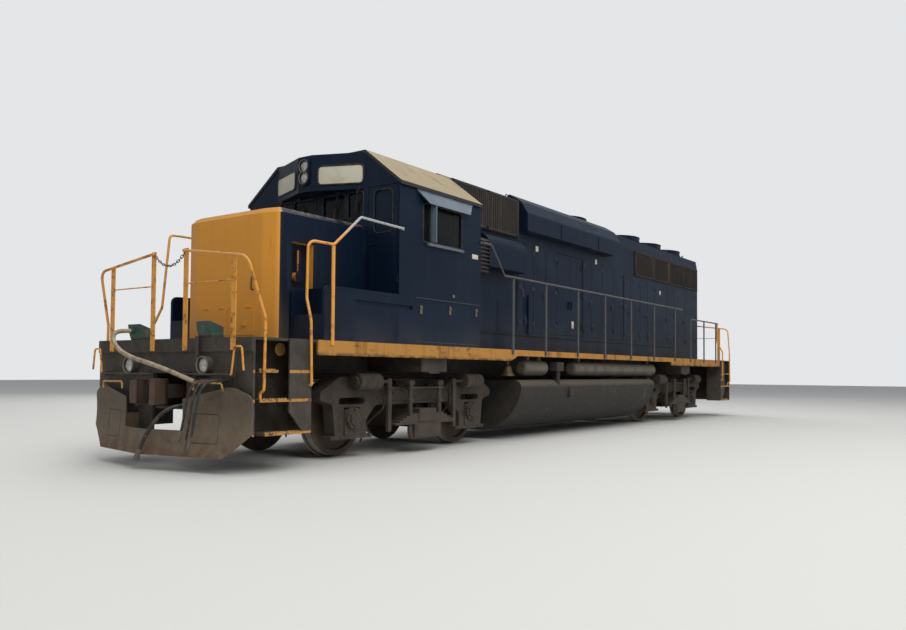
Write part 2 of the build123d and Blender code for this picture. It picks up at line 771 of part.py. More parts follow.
# Cab doors: each hung at its outer edge, with its pane and handle
def cab_door():
    leaf = block(cab_front_x - door_thickness, cab_front_x, door_inner_y, door_outer_y, door_bottom, door_top)
    middle = cab_front_x - door_thickness / 2
    pane = end_window_plate(middle - glass_thickness / 2, middle + glass_thickness / 2, 1)
    handle_z = door_bottom + 700
    handle = rod_y(cab_front_x + 14, door_inner_y + 30, door_inner_y + 150, handle_z, 8)
    handle = handle + rod_x(cab_front_x - 5, cab_front_x + 14, door_inner_y + 40, handle_z, 8)
    door = leaf - end_window_plate(cab_front_x - door_thickness - 1, cab_front_x + 1, 1) + pane + handle
    for z in (door_bottom + 150, door_top - 250):
        top = z + hinge_pin_length
        door = door + rod_z(cab_front_x + hinge_offset, door_outer_y + door_gap, z, top, hinge_pin_radius)
        door = door + block(cab_front_x - 1, cab_front_x + 6, door_outer_y - 60, door_outer_y, z, top)
        door = door + block(cab_front_x + 2, cab_front_x + 6, door_outer_y - 1, door_outer_y + door_gap, z,
                            top)
    return door


def make_cab_doors():
    door = cab_door()
    save("front_cab_door", door)
    save("rear_cab_door", Pos(cab_front_x + cab_rear_x, 0, 0) * other_end(door))


# Long hood: one section for its front and middle parts, and one with a leaning shoulder at the radiators
def hood_section(inset):
    return [
        (-hood_half_width + inset, deck_top + inset), (hood_half_width - inset, deck_top + inset),
        (hood_half_width - inset, hood_side_top - inset / 2), (hood_flat_half_width, hood_flat_z - inset),
        (-hood_flat_half_width, hood_flat_z - inset), (-hood_half_width + inset, hood_side_top - inset / 2),
    ]


def ledge(rear, front):
    """The drip strip along both sides of the hood, low down."""
    strip = prism("x", rear, front, (hood_half_width - 1, ledge_z),
                  (hood_half_width + ledge_reach, ledge_z - 4),
                  (hood_half_width + ledge_reach, ledge_z - 18), (hood_half_width - 1, ledge_z - 22))
    return both_sides(strip)


def door_relief(rear, front, low, high, seams):
    """Raised hood doors on both sides, parted at the seams."""
    return both_sides(grooved(rear, front, hood_half_width - 1, hood_half_width + relief, low, high, seams,
                              seam_width, relief - 1))


def make_intake_hood():
    hood = prism("x", intake_rear_x, cab_rear_x, *hood_section(0))
    bulge = prism("x", intake_rear_x + 40, bulge_front_x, (hood_half_width, bulge_bottom),
                  (bulge_y, bulge_bottom), (bulge_y, bulge_top, 240), (hood_half_width, bulge_top))
    bottom_lip = block(intake_rear_x + 40, bulge_front_x, hood_half_width, bulge_y + 10, bulge_bottom - 12,
                       bulge_bottom)
    panels = door_relief(intake_rear_x + 60, bulge_front_x - 60, ledge_z + 20, bulge_bottom - 520,
                         [(intake_rear_x + bulge_front_x) / 2])
    save("intake_hood", join([hood, bulge, bottom_lip] + ledge(intake_rear_x, cab_rear_x) + panels))


# Air grilles: ribbed intake boxes, ribbed radiator panels and the louvred duct behind the cab
def make_grilles():
    rib_pitch = 62
    count = int((cab_rear_x - 20 - intake_rear_x) / rib_pitch)
    ribs = [intake_rear_x + rib_pitch * (step + 0.7) for step in range(count)]
    box = grooved(intake_rear_x, cab_rear_x - 20, hood_half_width, intake_box_y, intake_box_bottom,
                  intake_box_top, ribs, 30, 14)
    panels = []
    for rear, front in ((grille_rear_x, grille_split_x - 20), (grille_split_x + 20, grille_front_x)):
        count = int((front - rear - 120) / 90)
        ribs = [rear + 90 * (step + 1) for step in range(count)]
        panel = grooved(rear, front, hood_half_width, hood_half_width + grille_reach - 4, grille_bottom,
                        grille_top,
                        ribs, 40, 8)
        for z in (grille_bottom, grille_top - 40):
            panel = panel + block(rear, front, hood_half_width, hood_half_width + grille_reach, z, z + 40)
        panels += both_sides(panel)
    low, high = louvre_z
    duct_inner = block(bulge_front_x + seat_gap, louvre_front_x, hood_half_width, bulge_y - 40, low, high)
    blade_pitch = (high - low) / louvre_blades
    for step in range(louvre_blades):
        z = low + blade_pitch * (step + 0.15)
        duct_inner = duct_inner + prism("x", bulge_front_x + seat_gap, louvre_front_x, (bulge_y - 41, z + 30),
                                        (bulge_y, z), (bulge_y, z + 10), (bulge_y - 41, z + 50))
    save("air_grilles", *both_sides(box), *panels, duct_inner)


def make_engine_hood():
    hood = prism("x", radiator_front_x, intake_rear_x, *hood_section(0))
    hood = hood - prism("x", radiator_front_x + hood_wall, intake_rear_x - hood_wall,
                        *hood_section(hood_wall))
    low = engine_door_x - door_gap
    high = engine_door_x + 2 * door_leaf_width + door_gap
    for side in (1, -1):
        hood = hood - block(low, high, side * (hood_half_width + 1), side * (hood_half_width - hood_wall - 5),
                            engine_door_bottom - door_gap, engine_door_top + door_gap)
    hood = hood - rod_z(brake_fan_x, 0, hood_flat_z - hood_wall - 5, hood_flat_z + 5, cowl_outer + seat_gap)
    hinge_room = 2 * hinge_pin_radius + 20
    front = door_relief(high + hinge_room, intake_rear_x - 40, engine_door_bottom, engine_door_top,
                        seams_front)
    rear = door_relief(radiator_front_x + 30, low - hinge_room, engine_door_bottom, engine_door_top,
                       seams_rear)
    rear_x, front_x, bottom, top = duct
    side_duct = block(rear_x, front_x, hood_half_width - 1, hood_half_width + 45, bottom, top)
    roof_seams = [block(x - 20, x + 20, -hood_flat_half_width + 10, hood_flat_half_width - 10,
                        hood_flat_z - 1,
                        hood_flat_z + 8) for x in (600, 1500)]
    stack = rounded("z", hood_flat_z - 1, hood_flat_z + 150, -2150, -1880, -330, 330, 60)
    save("engine_hood", join([hood] + ledge(radiator_front_x, intake_rear_x) + front + rear
                             + [side_duct, stack] + roof_seams))
    engine = block(-2300, 1700, -620, 620, deck_top + hood_wall + 0.5, deck_top + 2050)
    save("engine_block", engine)


# Dynamic-brake blister: a box along each upper side of the hood, its rear end cut back towards the bottom
def make_blister():
    section = [
        (hood_half_width, blister_bottom), (blister_y, blister_bottom + 30),
        (blister_y, blister_shoulder, 80), (hood_half_width + blister_haunch, hood_side_top + 20, 150),
        (blister_top_y, blister_top), (hood_flat_half_width, blister_top),
        (hood_flat_half_width, hood_flat_z), (hood_half_width, hood_side_top),
    ]
    side = prism("x", blister_rear_x, blister_front_x, *section)
    side = side - prism("y", hood_half_width - 1, blister_y + 1, (blister_rear_x - 1, blister_bottom - 1),
                        (blister_rear_x + blister_rear_slant, blister_bottom - 1),
                        (blister_rear_x - 1, blister_shoulder - 40))
    for x in (blister_rear_x + 1100, blister_front_x - 1300):
        band = block(x - 25, x + 25, blister_y - 2, blister_y + 8, blister_bottom + 60, blister_shoulder - 30)
        side = side + band
    save("brake_blister", *both_sides(side))


def make_radiator_hood():
    shoulder = hood_half_width - radiator_shoulder_inset
    section = [
        (-hood_half_width, deck_top), (hood_half_width, deck_top), (hood_half_width, grille_top),
        (shoulder, hood_side_top + 20), (hood_flat_half_width - 40, hood_flat_z),
        (40 - hood_flat_half_width, hood_flat_z), (-shoulder, hood_side_top + 20),
        (-hood_half_width, grille_top),
    ]
    hood = prism("x", hood_rear_x, radiator_front_x, *section)
    for x in radiator_fan_x:
        hood = hood - rod_z(x, 0, hood_flat_z - 200, hood_flat_z + 5, cowl_outer + seat_gap)
    panels = door_relief(hood_rear_x + 60, radiator_front_x - 60, engine_door_bottom, grille_bottom - 60,
                         seams_radiator)
    lamp_box = rounded("x", hood_rear_x - 60, hood_rear_x + 1, -headlight_radius - 40, headlight_radius + 40,
                       headlight_z[1] - 130, headlight_z[0] + 130, 100)
    for z in headlight_z:
        lamp_box = lamp_box - rod_x(hood_rear_x - 61, hood_rear_x - 30, 0, z, headlight_radius + 8)
    door = rounded("x", hood_rear_x - 10, hood_rear_x + 1, -380, 380, deck_top + 150, deck_top + 1900, 40)
    boards = [rounded("x", hood_rear_x - 14, hood_rear_x + 1, side * 260, side * 800, headlight_z[1] - 110,
                      headlight_z[1] + 110, 40) for side in (1, -1)]
    rear_ledge = ledge(-6100, radiator_front_x)
    save("radiator_hood", join([hood] + panels + [lamp_box, door] + boards + rear_ledge))


# Fans and their cowls
def make_cowls():
    cowls = []
    inner = cowl_outer - cowl_wall
    foot = hood_flat_z - cowl_depth
    bar_z = cowl_top - guard_bar / 2 - 5
    for x in radiator_fan_x + [brake_fan_x]:
        cowl = rod_z(x, 0, foot, cowl_top, cowl_outer)
        cowl = cowl + rod_z(x, 0, hood_flat_z, hood_flat_z + 8, cowl_outer + cowl_flange)
        cowl = cowl + rod_z(x, 0, cowl_top - 18, cowl_top - 4, cowl_outer + 8)
        cowl = cowl - rod_z(x, 0, foot - 1, cowl_top + 1, inner)
        cowl = cowl + rod_z(x, 0, foot, fan_hub_bottom - seat_gap, 110)
        for angle in (45, 135):
            cowl = cowl + Pos(x, 0, foot + 20) * Rot(0, 0, angle) * Box(2 * inner + 10, 40, 40)
        for angle in range(0, 180, 30):
            cowl = cowl + Pos(x, 0, bar_z) * Rot(0, 0, angle) * Box(2 * inner + 10, guard_bar, guard_bar)
        for radius in (180, 330, 480):
            ring = rod_z(x, 0, bar_z - 7, bar_z + 7, radius + 7) - rod_z(x, 0, bar_z - 8, bar_z + 8,
                                                                         radius - 7)
            cowl = cowl + ring
        cowls.append(cowl)
    save("fan_cowls", *cowls)


def make_fan(name, x):
    blade_z = (fan_hub_bottom + cowl_top - 60) / 2
    fan = rod_z(x, 0, fan_hub_bottom, cowl_top - 60, fan_hub_diameter / 2)
    root = fan_hub_diameter / 2 - 20
    blade_length = fan_diameter / 2 - root
    for turn in range(fan_blades):
        blade = Pos(root + blade_length / 2, 0, 0) * Rot(28, 0, 0) * Box(blade_length, 190, 10)
        fan = fan + Pos(x, 0, blade_z) * Rot(0, 0, turn * 360 / fan_blades) * blade
    save(name, fan)


def make_fans():
    for number, x in enumerate(radiator_fan_x, 1):
        make_fan(f"radiator_fan_{number}", x)
    make_fan("brake_fan", brake_fan_x)


# Engine-room doors: two leaves a side, hinged at their outer edges
def engine_door(low, high, seam_end):
    leaf = block(low, high, hood_half_width - engine_door_thickness, hood_half_width, engine_door_bottom,
                 engine_door_top)
    handle_x = high - 60 if seam_end > 0 else low + 60
    handle = block(handle_x - 12, handle_x + 12, hood_half_width - 5, hood_half_width + 25, *engine_handle_z)
    edge_x, outward = (low, -1) if seam_end > 0 else (high, 1)
    hinge_x = edge_x + outward * door_gap
    for z in (engine_door_bottom + 150, (engine_door_bottom + engine_door_top) / 2, engine_door_top - 250):
        top = z + hinge_pin_length
        leaf = leaf + rod_z(hinge_x, hood_half_width + hinge_offset, z, top, hinge_pin_radius)
        leaf = leaf + block(edge_x, edge_x - outward * 60, hood_half_width - 1, hood_half_width + 6, z, top)
        leaf = leaf + block(edge_x - outward, hinge_x, hood_half_width + 2, hood_half_width + 6, z, top)
    return leaf + handle


def make_engine_doors():
    front_leaf = engine_door(engine_door_middle + door_gap / 2, engine_door_middle + door_leaf_width, -1)
    rear_leaf = engine_door(engine_door_x, engine_door_middle - door_gap / 2, 1)
    save("left_engine_door_front", front_leaf)
    save("left_engine_door_rear", rear_leaf)
    save("right_engine_door_front", other_side(front_leaf))
    save("right_engine_door_rear", other_side(rear_leaf))


# Handrails along the walkways, each on flat stanchions
def stanchion(x, top):
    half = stanchion_width / 2
    return block(x - half, x + half, sill_outer_y, rail_y, sill_shallow_bottom + 20, top)


def make_side_handrails():
    bar = tube([(cab_rear_x - 40, rail_y, cab_rail_z), (3850, rail_y, cab_rail_z),
                (3455, rail_y, side_rail_z),
                (side_rail_rear_x, rail_y, side_rail_z)], rail_radius, [60, 60])
    half = rail_bracket / 2
    bracket = block(cab_rear_x - 3 * half, cab_rear_x + half, cab_half_width, rail_y, cab_rail_z - half,
                    cab_rail_z + half)
    front = join([bar, bracket] + [stanchion(x, side_rail_z) for x in stanchion_x])
    bar = rod_x(rear_rail_rear_x, rear_rail_front_x, rail_y, rear_rail_z, rail_radius)
    rear = join([bar] + [stanchion(x, rear_rail_z) for x in rear_stanchion_x])
    save("side_handrails", *both_sides(front), *both_sides(rear))


# End rails: flat posts on the end plate, with a rail that falls to the outer edge of the steps
def end_rails():
    shapes = []
    post_x = pilot_face + pilot_beam_projection
    rail_x = post_x + post_thickness + rail_radius
    for y, top in ((centre_post_y, centre_post_top), (flat_post_y, flat_post_top)):
        shapes.append(block(post_x, post_x + post_thickness, y - post_width / 2, y + post_width / 2,
                            deck_top - 144, top))
    mid_z = rail + 2150
    shapes.append(rod_y(post_x + post_thickness + 8 + seat_gap, centre_post_y - 20, flat_post_y + 20, mid_z,
                        8))
    tread_z = rail + step_table[1][0]
    bar = tube([(rail_x, centre_post_y - 30, rail + 2550), (rail_x, deck_half_width - 60, rail + 2400),
                (8430, rail_y, rail + 1715),
                (8440, rail_y, tread_z + 110), (8440, rail_y - 60, tread_z + 70),
                (8440, rail_y - 60, tread_z + seat_gap)],
               rail_radius, [150, 90, 25, 20])
    shapes.append(bar)
    return [shape for piece in shapes for shape in both_sides(piece)]


def make_end_handrails():
    front = end_rails()
    save("end_handrails", *front, *[other_end(piece) for piece in front])


# Step rails beside the cab and at the rear corners. The left front one arches back over a post, and the right
# one climbs straight to the cab.
def foot_of_step_rail():
    return [(7735, sill_outer_y + seat_gap, rail + 964), (7735, corner_rail_y, rail + 964),
            (7755, corner_rail_y, rail + 1729), (7703, inner_rail_y, rail + 2001)]


def make_step_rails():
    half = rail_bracket / 2
    cab_end_z = rail + 3071
    left = tube(foot_of_step_rail() + [(7692, inner_rail_y, rail + 2700), (7370, rail_y, rail + 2677),
                                       (6890, rail_y, rail + 3090), (cab_front_x - 60, rail_y, cab_end_z)],
                rail_radius, [14, 60, 90, 90, 60, 60])
    left = left + block(cab_front_x - 60 - half, cab_front_x - 60 + half, cab_half_width, rail_y,
                        cab_end_z - half,
                        cab_end_z + half)
    post = block(7341, 7389, sill_outer_y, rail_y - 4, sill_shallow_bottom + 40, rail + 2672)
    right = tube(foot_of_step_rail() + [(7600, inner_rail_y, rail + 3030), (7380, rail_y, rail + 3060),
                                        (cab_front_x - 60, rail_y, cab_end_z)], rail_radius,
                 [14, 60, 90, 90, 60])
    right = right + block(cab_front_x - 60 - half, cab_front_x - 60 + half, cab_half_width, rail_y,
                          cab_end_z - half,
                          cab_end_z + half)
    rear = tube(foot_of_step_rail() + [(7692, inner_rail_y, rear_rail_z), (7420, rail_y, rear_rail_z),
                                       (-rear_rail_rear_x + seat_gap, rail_y, rear_rail_z)],
                rail_radius, [14, 60, 90, 90, 60])
    save("step_rails", left + post, other_side(right), other_end(rear), other_end(other_side(rear)))


# Lamps: twin headlights at both ends, and a pair of ditch lights in round housings
def lamp(x, y, z, radius, outward):
    """A flat-backed lamp with a domed lens."""
    depth = radius * 0.25
    curve = (radius ** 2 + depth ** 2) / (2 * depth)
    halfway = radius / 2
    dome = ThreePointArc((0, radius), (sqrt(curve ** 2 - halfway ** 2) - curve + depth, halfway), (depth, 0))
    profile = make_face(Wire([dome, Line((depth, 0), (0, 0)), Line((0, 0), (0, radius))]))
    body = revolve(profile, axis=Axis.X)
    return Pos(x, y, z) * Rot(0, 0, 0 if outward > 0 else 180) * body


def make_lamps():
    lamps = []
    ditch_x = pilot_face + pilot_beam_projection + ditch_light_depth
    for z in headlight_z:
        lamps.append(lamp(number_box_front_x + 10, 0, z, headlight_radius, 1))
        lamps.append(lamp(hood_rear_x - 30, 0, z, headlight_radius, -1))
    for side in (1, -1):
        lamps.append(lamp(ditch_x, side * ditch_light_y, ditch_light_z, ditch_light_radius - 8, 1))
        lamps.append(lamp(-ditch_x, side * ditch_light_y, ditch_light_z, ditch_light_radius - 8, -1))
    save("lamps", *lamps)


# Horn on the cab roof: three chimes on a manifold
def make_horn():
    base_x = cab_rear_x + 240
    base = block(base_x - 90, base_x + 90, -120, 120, roof_flat_z + seat_gap, roof_flat_z + 50)
    chime_z = roof_flat_z + 105
    for y in (-80, 0, 80):
        base = base + rod_z(base_x, y, roof_flat_z + 40, chime_z, 16)
        base = base + rod_x(base_x - 40, base_x + 130, y, chime_z, 22)
        base = base + Pos(base_x + 150, y, chime_z) * Rot(0, 90, 0) * Cone(18, 38, 90)
    save("horn", base)


# Bell under the side sill, on a hanging arm
def make_bell():
    height = 180
    bell_x = 2960
    mouth_z = rail + 1072
    outline = [(0, height), (45, height), (66, height - 25), (84, 70), (130, 0), (118, 0), (74, 68),
               (56, height - 36),
               (0, height - 30)]
    profile = make_face(Polyline(*[(x, 0, z) for x, z in outline], close=True))
    bell = Pos(bell_x, reservoir_y, mouth_z) * revolve(profile, axis=Axis.Z)
    arm = block(bell_x - 20, bell_x + 20, reservoir_y - 20, reservoir_y + 20, mouth_z + height - 5,
                deck_underside - seat_gap)
    save("bell", bell + arm)


# Fittings on the front pilot: jumper receptacles, pipes with their cocks, ditch-light housings and the
# uncoupling levers. The rear has its light housings and levers only.
def uncoupling_lever(side):
    x = pilot_face + lever_reach
    end_y = deck_half_width - lever_end_inset
    bar = tube([(x, side * 210, lever_z), (x, side * (end_y - 205), lever_z),
                (x, side * (end_y - 155), lever_handle_top), (x, side * (end_y - 35), lever_handle_top),
                (x, side * end_y, lever_handle_top - 265)], 12, [30, 40, 40])
    brackets = [block(pilot_face, x, side * (y - 15), side * (y + 15), lever_z - 30, lever_z + 30)
                for y in (420, end_y - 270)]
    return join([bar] + brackets)


def ditch_light_housing(side):
    face = pilot_face + pilot_beam_projection
    can = rod_x(pilot_face, face + 70, side * ditch_light_y, ditch_light_z, ditch_light_radius + 8)
    return can - rod_x(face + ditch_light_depth, face + 71, side * ditch_light_y, ditch_light_z,
                       ditch_light_radius - 6)


def receptacle(side):
    """A jumper box on the deck's edge with a sloping lid."""
    return prism("y", *sorted((side * (receptacle_y - 120), side * (receptacle_y + 120))),
                 (end_plate_x - 120, deck_top), (pilot_face + 10, deck_top),
                 (pilot_face + 40, deck_top + 90, 10),
                 (pilot_face + 60, deck_top + 200, 10), (end_plate_x - 120, deck_top + 130, 10))


def pipe_with_cock(front_x, y, z, radius, cock):
    pipe = rod_x(pilot_face, front_x, y, z, radius)
    return pipe + block(front_x - 15 - 1.6 * cock, front_x - 15, y - cock, y + cock, z - cock, z + cock)


def make_end_fittings():
    shapes = []
    for side in (1, -1):
        housing = ditch_light_housing(side)
        lever = uncoupling_lever(side)
        shapes += [housing, lever, other_end(housing), other_end(lever)]
    shapes.append(receptacle(1))
    exit_x, exit_y, exit_z = jumper_route[0]
    shapes.append(receptacle(-1) + rod_x(end_plate_x, exit_x, exit_y, exit_z, jumper_diameter / 2 + 7))
    shapes.append(pipe_with_cock(brake_pipe_front_x, brake_pipe_y, brake_pipe_z, 30, 42))
    low_y, high_y = control_pipe_y[0], control_pipe_y[-1]
    manifold = block(pilot_face, pilot_face + 24, low_y - 50, high_y + 50, control_pipe_z - 50,
                     control_pipe_z + 50)
    for y in control_pipe_y:
        manifold = manifold + pipe_with_cock(control_pipe_front_x, y, control_pipe_z, 17, 25)
    shapes.append(manifold)
    socket = block(pilot_face, pilot_face + 80, jumper_socket_y - 100, jumper_socket_y + 100,
                   jumper_socket_z - 50,
                   jumper_socket_z + 50)
    conduit = rod_z(pilot_face + 55, jumper_socket_y - 72, jumper_socket_z + 45, deck_top + 20, 24)
    shapes.append(socket + conduit + end_sleeve(jumper_route, jumper_diameter / 2 + 6, 62))
    save("end_fittings", *shapes)


# Free hoses and the jumper cable at the front, each along its own points, and the couplings on the hoses
jumper_route = [
    (8650, -700, 1640), (8800, -700, 1640), (8915, -650, 1575), (8960, -540, 1470), (8965, -390, 1375),
    (8950, -200, 1305), (8925, 0, 1258), (8885, 190, 1208), (8820, 370, 1145), (8745, 510, 1080),
    (8670, 620, 1025),
]
brake_hose_route = [
    (8650, 480, 748), (8790, 480, 748), (8915, 435, 695), (8985, 350, 585), (9005, 240, 445),
    (9008, 140, 315),
    (9005, 75, 210),
]
control_hose_drop = [  # forward of the pipe, towards the middle, below the pipe
    (0, 0, 0), (100, 0, 0), (185, 25, 85), (205, 60, 230), (195, 110, 410), (180, 170, 590), (172, 215, 700),
]
control_hose_reach = [0.86, 1.0, 0.95]  # how far down each one hangs


def control_hose_route(y, reach):
    return [(control_pipe_front_x + forward, y - inward, control_pipe_z - drop * reach)
            for forward, inward, drop in control_hose_drop]


def end_sleeve(route, radius, length):
    """A round sleeve that carries on from the last run of a hose."""
    last = Vector(*route[-1])
    run = (last - Vector(*route[-2])).normalized()
    return Plane(origin=last, z_dir=run) * Pos(0, 0, length / 2) * Cylinder(radius, length)


def coupling(route, radius):
    """A sleeve and a coupling head on the end of a hose."""
    last = Vector(*route[-1])
    run = (last - Vector(*route[-2])).normalized()
    head = Plane(origin=last, z_dir=run) * Pos(0, 0, 75) * Box(radius * 2.6, radius * 1.5, 60)
    return end_sleeve(route, radius, 60) + head


def make_hoses():
    save("jumper_cable", hose(jumper_route, jumper_diameter))
    save("front_brake_hose", hose(brake_hose_route, brake_hose_diameter))
    couplings = [coupling(brake_hose_route, brake_hose_diameter / 2 + 4)]
    for number, (y, reach) in enumerate(zip(control_pipe_y, control_hose_reach), 1):
        route = control_hose_route(y, reach)
        save(f"control_hose_{number}", hose(route, control_hose_diameter))
        couplings.append(coupling(route, control_hose_diameter / 2 + 4))
    save("hose_couplings", *couplings)


# Couplers: shank with its pin and a head, and a knuckle on a pin of its own
def coupler():
    z0 = coupler_height - coupler_head_half_height
    z1 = coupler_height + coupler_head_half_height
    shank = block(coupler_pin_x, coupler_head_x + 40, -coupler_shank_half_width, coupler_shank_half_width,
                  coupler_height - coupler_shank_half_height, coupler_height + coupler_shank_half_height)
    butt = rod_z(coupler_pin_x, 0, coupler_height - coupler_shank_half_height,
                 coupler_height + coupler_shank_half_height, 100)
    base = coupler_head_x
    head = prism("z", z0, z1, (base, -90), (base, 90), (base + 80, 170), (base + 150, 250),
                 (base + 310, 280), (base + 350, 235), (base + 260, 150), (base + 210, 60), (base + 160, 0),
                 (base + 160, -60), (base + 190, -185), (base + 80, -170))
    pin = rod_z(coupler_pin_x, 0, draft_pocket_bottom + draft_pocket_wall + seat_gap,
                centre_sill_bottom - seat_gap, coupler_pin_diameter / 2)
    ears = prism("z", z0, z1, (knuckle_pin_x - 115, -60), (knuckle_pin_x, -60),
                 (knuckle_pin_x + 55, -knuckle_pin_y), (knuckle_pin_x, -180), (knuckle_pin_x - 115, -180))
    slot_half = knuckle_half_height + knuckle_slot_clearance
    slot = block(knuckle_pin_x - 93, knuckle_pin_x + 145, -knuckle_pin_y - 142, -20,
                 coupler_height - slot_half,
                 coupler_height + slot_half)
    hole = rod_z(knuckle_pin_x, -knuckle_pin_y, z0 - 1, z1 + 1, knuckle_pin_diameter / 2 + seat_gap)
    return shank + butt + head + (ears - slot) + pin - hole - slot


def knuckle():
    z0 = coupler_height - knuckle_half_height
    z1 = coupler_height + knuckle_half_height
    x = knuckle_pin_x
    body = prism("z", z0, z1, (x - 60, -75), (x - 60, -160), (x, -172, 20), (x + 55, -130, 20),
                 (x + 145, -60, 40),
                 (x + 160, 30, 30), (x + 112, 40, 15), (x + 70, -20, 20), (x + 25, -60, 20))
    pin = rod_z(x, -knuckle_pin_y, z0 - 45, z1 + 45, knuckle_pin_diameter / 2)
    return body + pin


def make_couplers():
    save("front_coupler", coupler())
    save("rear_coupler", other_end(coupler()))
    save("front_knuckle", knuckle())
    save("rear_knuckle", other_end(knuckle()))


# Wheelsets
def make_wheelset(name, x):
    tread = wheel_diameter / 2
    z = axle_height
    pieces = [rod_y(x, -1085, 1085, z, journal_diameter / 2), rod_y(x, -850, 850, z, axle_diameter / 2)]
    inner = back_to_back / 2
    outer = inner + wheel_width
    for side in (1, -1):
        rim = rod_y(x, side * inner, side * outer, z, tread)
        rim = rim + rod_y(x, side * inner, side * (inner + flange_width), z, tread + flange_height)
        dish = rod_y(x, side * (outer - 45), side * (outer + 1), z, tread - 70)
        dish = dish - rod_y(x, side * (outer - 46), side * (outer + 2), z, 150)
        pieces.append(rim - dish)
    save(name, join(pieces))


# Truck side frame: a cast bar that arches between two pedestals
def side_frame():
    half = wheelbase / 2
    jaw = journal_box_width / 2 + seat_gap
    right = [  # distance from the middle, height, corner radius
        (720, truck_mid_top, 200), (half - 240, truck_journal_top, 150), (half + 230, truck_journal_top, 120),
        (truck_frame_end, truck_end_top, 40), (truck_frame_end, truck_end_bottom, 40),
        (half + pedestal_outer + 30, truck_end_bottom - 60, 70),
             (half + pedestal_outer - 20, pedestal_bottom, 0),
        (half + jaw, pedestal_bottom, 0), (half + jaw, pedestal_slot_top, 0),
             (half - jaw, pedestal_slot_top, 0),
        (half - jaw, pedestal_bottom, 0), (half - pedestal_inner, pedestal_bottom, 0),
        (half - pedestal_inner, rail + 480, 80), (half - pedestal_inner - 190, truck_arch_top, 140),
    ]
    left = [(-x, z, radius) for x, z, radius in reversed(right)]
    frame = prism("y", truck_frame_inner, truck_frame_outer, *right, *left)
    length, height, middle = journal_slot
    for x in (half, -half):
        frame = frame - rounded("y", truck_frame_inner - 1, truck_frame_outer + 1, x - length / 2,
                                x + length / 2,
                                middle - height / 2, middle + height / 2, height / 2 - 1)
    flange = prism("y", truck_frame_outer - 1, truck_frame_outer + 22, *[
        (-700, truck_mid_top - 8), (700, truck_mid_top - 8), (700, truck_mid_top - 38),
        (-700, truck_mid_top - 38)])
    lower = prism("y", truck_frame_outer - 1, truck_frame_outer + 22, *[
        (-820, truck_arch_top + 4), (820, truck_arch_top + 4), (820, truck_arch_top + 34),
        (-820, truck_arch_top + 34)])
    return frame + flange + lower


def truck_frame(centre):
    frame = side_frame()
    frame = frame + other_side(frame)
    inner = truck_frame_inner + 5
    for x in (transom_x, -transom_x):
        frame = frame + block(x - transom_half_width, x + transom_half_width, -inner, inner, rail + 660,
                              rail + 900)
    for x in (truck_frame_end - 40, 40 - truck_frame_end):
        frame = frame + block(x - 40, x + 40, -inner, inner, truck_end_bottom + 4, truck_end_top - 12)
    for x in (hanger_x, -hanger_x):
        for side in (1, -1):
            frame = frame + block(x - 60, x + 60, side * (truck_frame_outer - 5),
                                  side * (hanger_y + hanger_diameter / 2),
                                  hanger_top + seat_gap, hanger_cap_top)
            frame = frame + block(x - 60, x + 60, side * (truck_frame_outer - 60), side * truck_frame_outer,
                                  truck_mid_top - 30, hanger_cap_top)
    return Pos(centre, 0, 0) * frame


def journal_boxes(centre):
    """The four boxes with their round covers, and the tie bars that close the pedestals."""
    shapes = []
    half = wheelbase / 2
    for x in (centre + half, centre - half):
        for side in (1, -1):
            box = block(x - journal_box_width / 2, x + journal_box_width / 2, side * (truck_frame_inner + 10),
                        side * (truck_frame_outer + 20), pedestal_bottom + seat_gap, pedestal_slot_top - 25)
            box = box + rod_y(x, side * truck_frame_outer, side * (journal_cover_y - 20), axle_height, 142)
            box = box + rod_y(x, side * truck_frame_outer, side * journal_cover_y, axle_height, 92)
            box = box - rod_y(x, side * truck_frame_inner, side * 1095, axle_height,
                              journal_diameter / 2 + journal_clearance)
            tie = block(x - tie_bar_length / 2, x + tie_bar_length / 2, side * (truck_frame_inner + 20),
                        side * (truck_frame_outer + 10), pedestal_bottom - 50, pedestal_bottom)
            shapes += [box, tie]
    return shapes


# Bolster with its centre bowl, the leaf springs it rests on, and the swing hangers
def truck_bolster(centre):
    whole = block(centre - 200, centre + 200, -860, 860, rail + 560, rail + 930)
    whole = whole + rod_z(centre, 0, rail + 900, bolster_top, centre_plate_radius + 20)
    whole = whole + block(centre - 200, centre + 200, -1330, 1330, rail + 420, rail + 600)
    for side in (1, -1):
        for level in range(spring_leaves):
            half = spring_half_length - level * 75
            z = spring_bottom + level * spring_leaf
            whole = whole + block(centre - half, centre + half, side * 1160, side * 1320, z,
                                  z + spring_leaf + 1)
        y = side * hanger_y
        path = [(centre - hanger_x, y, hanger_top), (centre - hanger_x, y, hanger_bottom),
                (centre + hanger_x, y, hanger_bottom), (centre + hanger_x, y, hanger_top)]
        whole = whole + tube(path, hanger_diameter / 2, 80)
        whole = whole + block(centre - 300, centre + 300, side * 1210, side * 1330, hanger_bottom - 10,
                              spring_bottom + 5)
    return whole


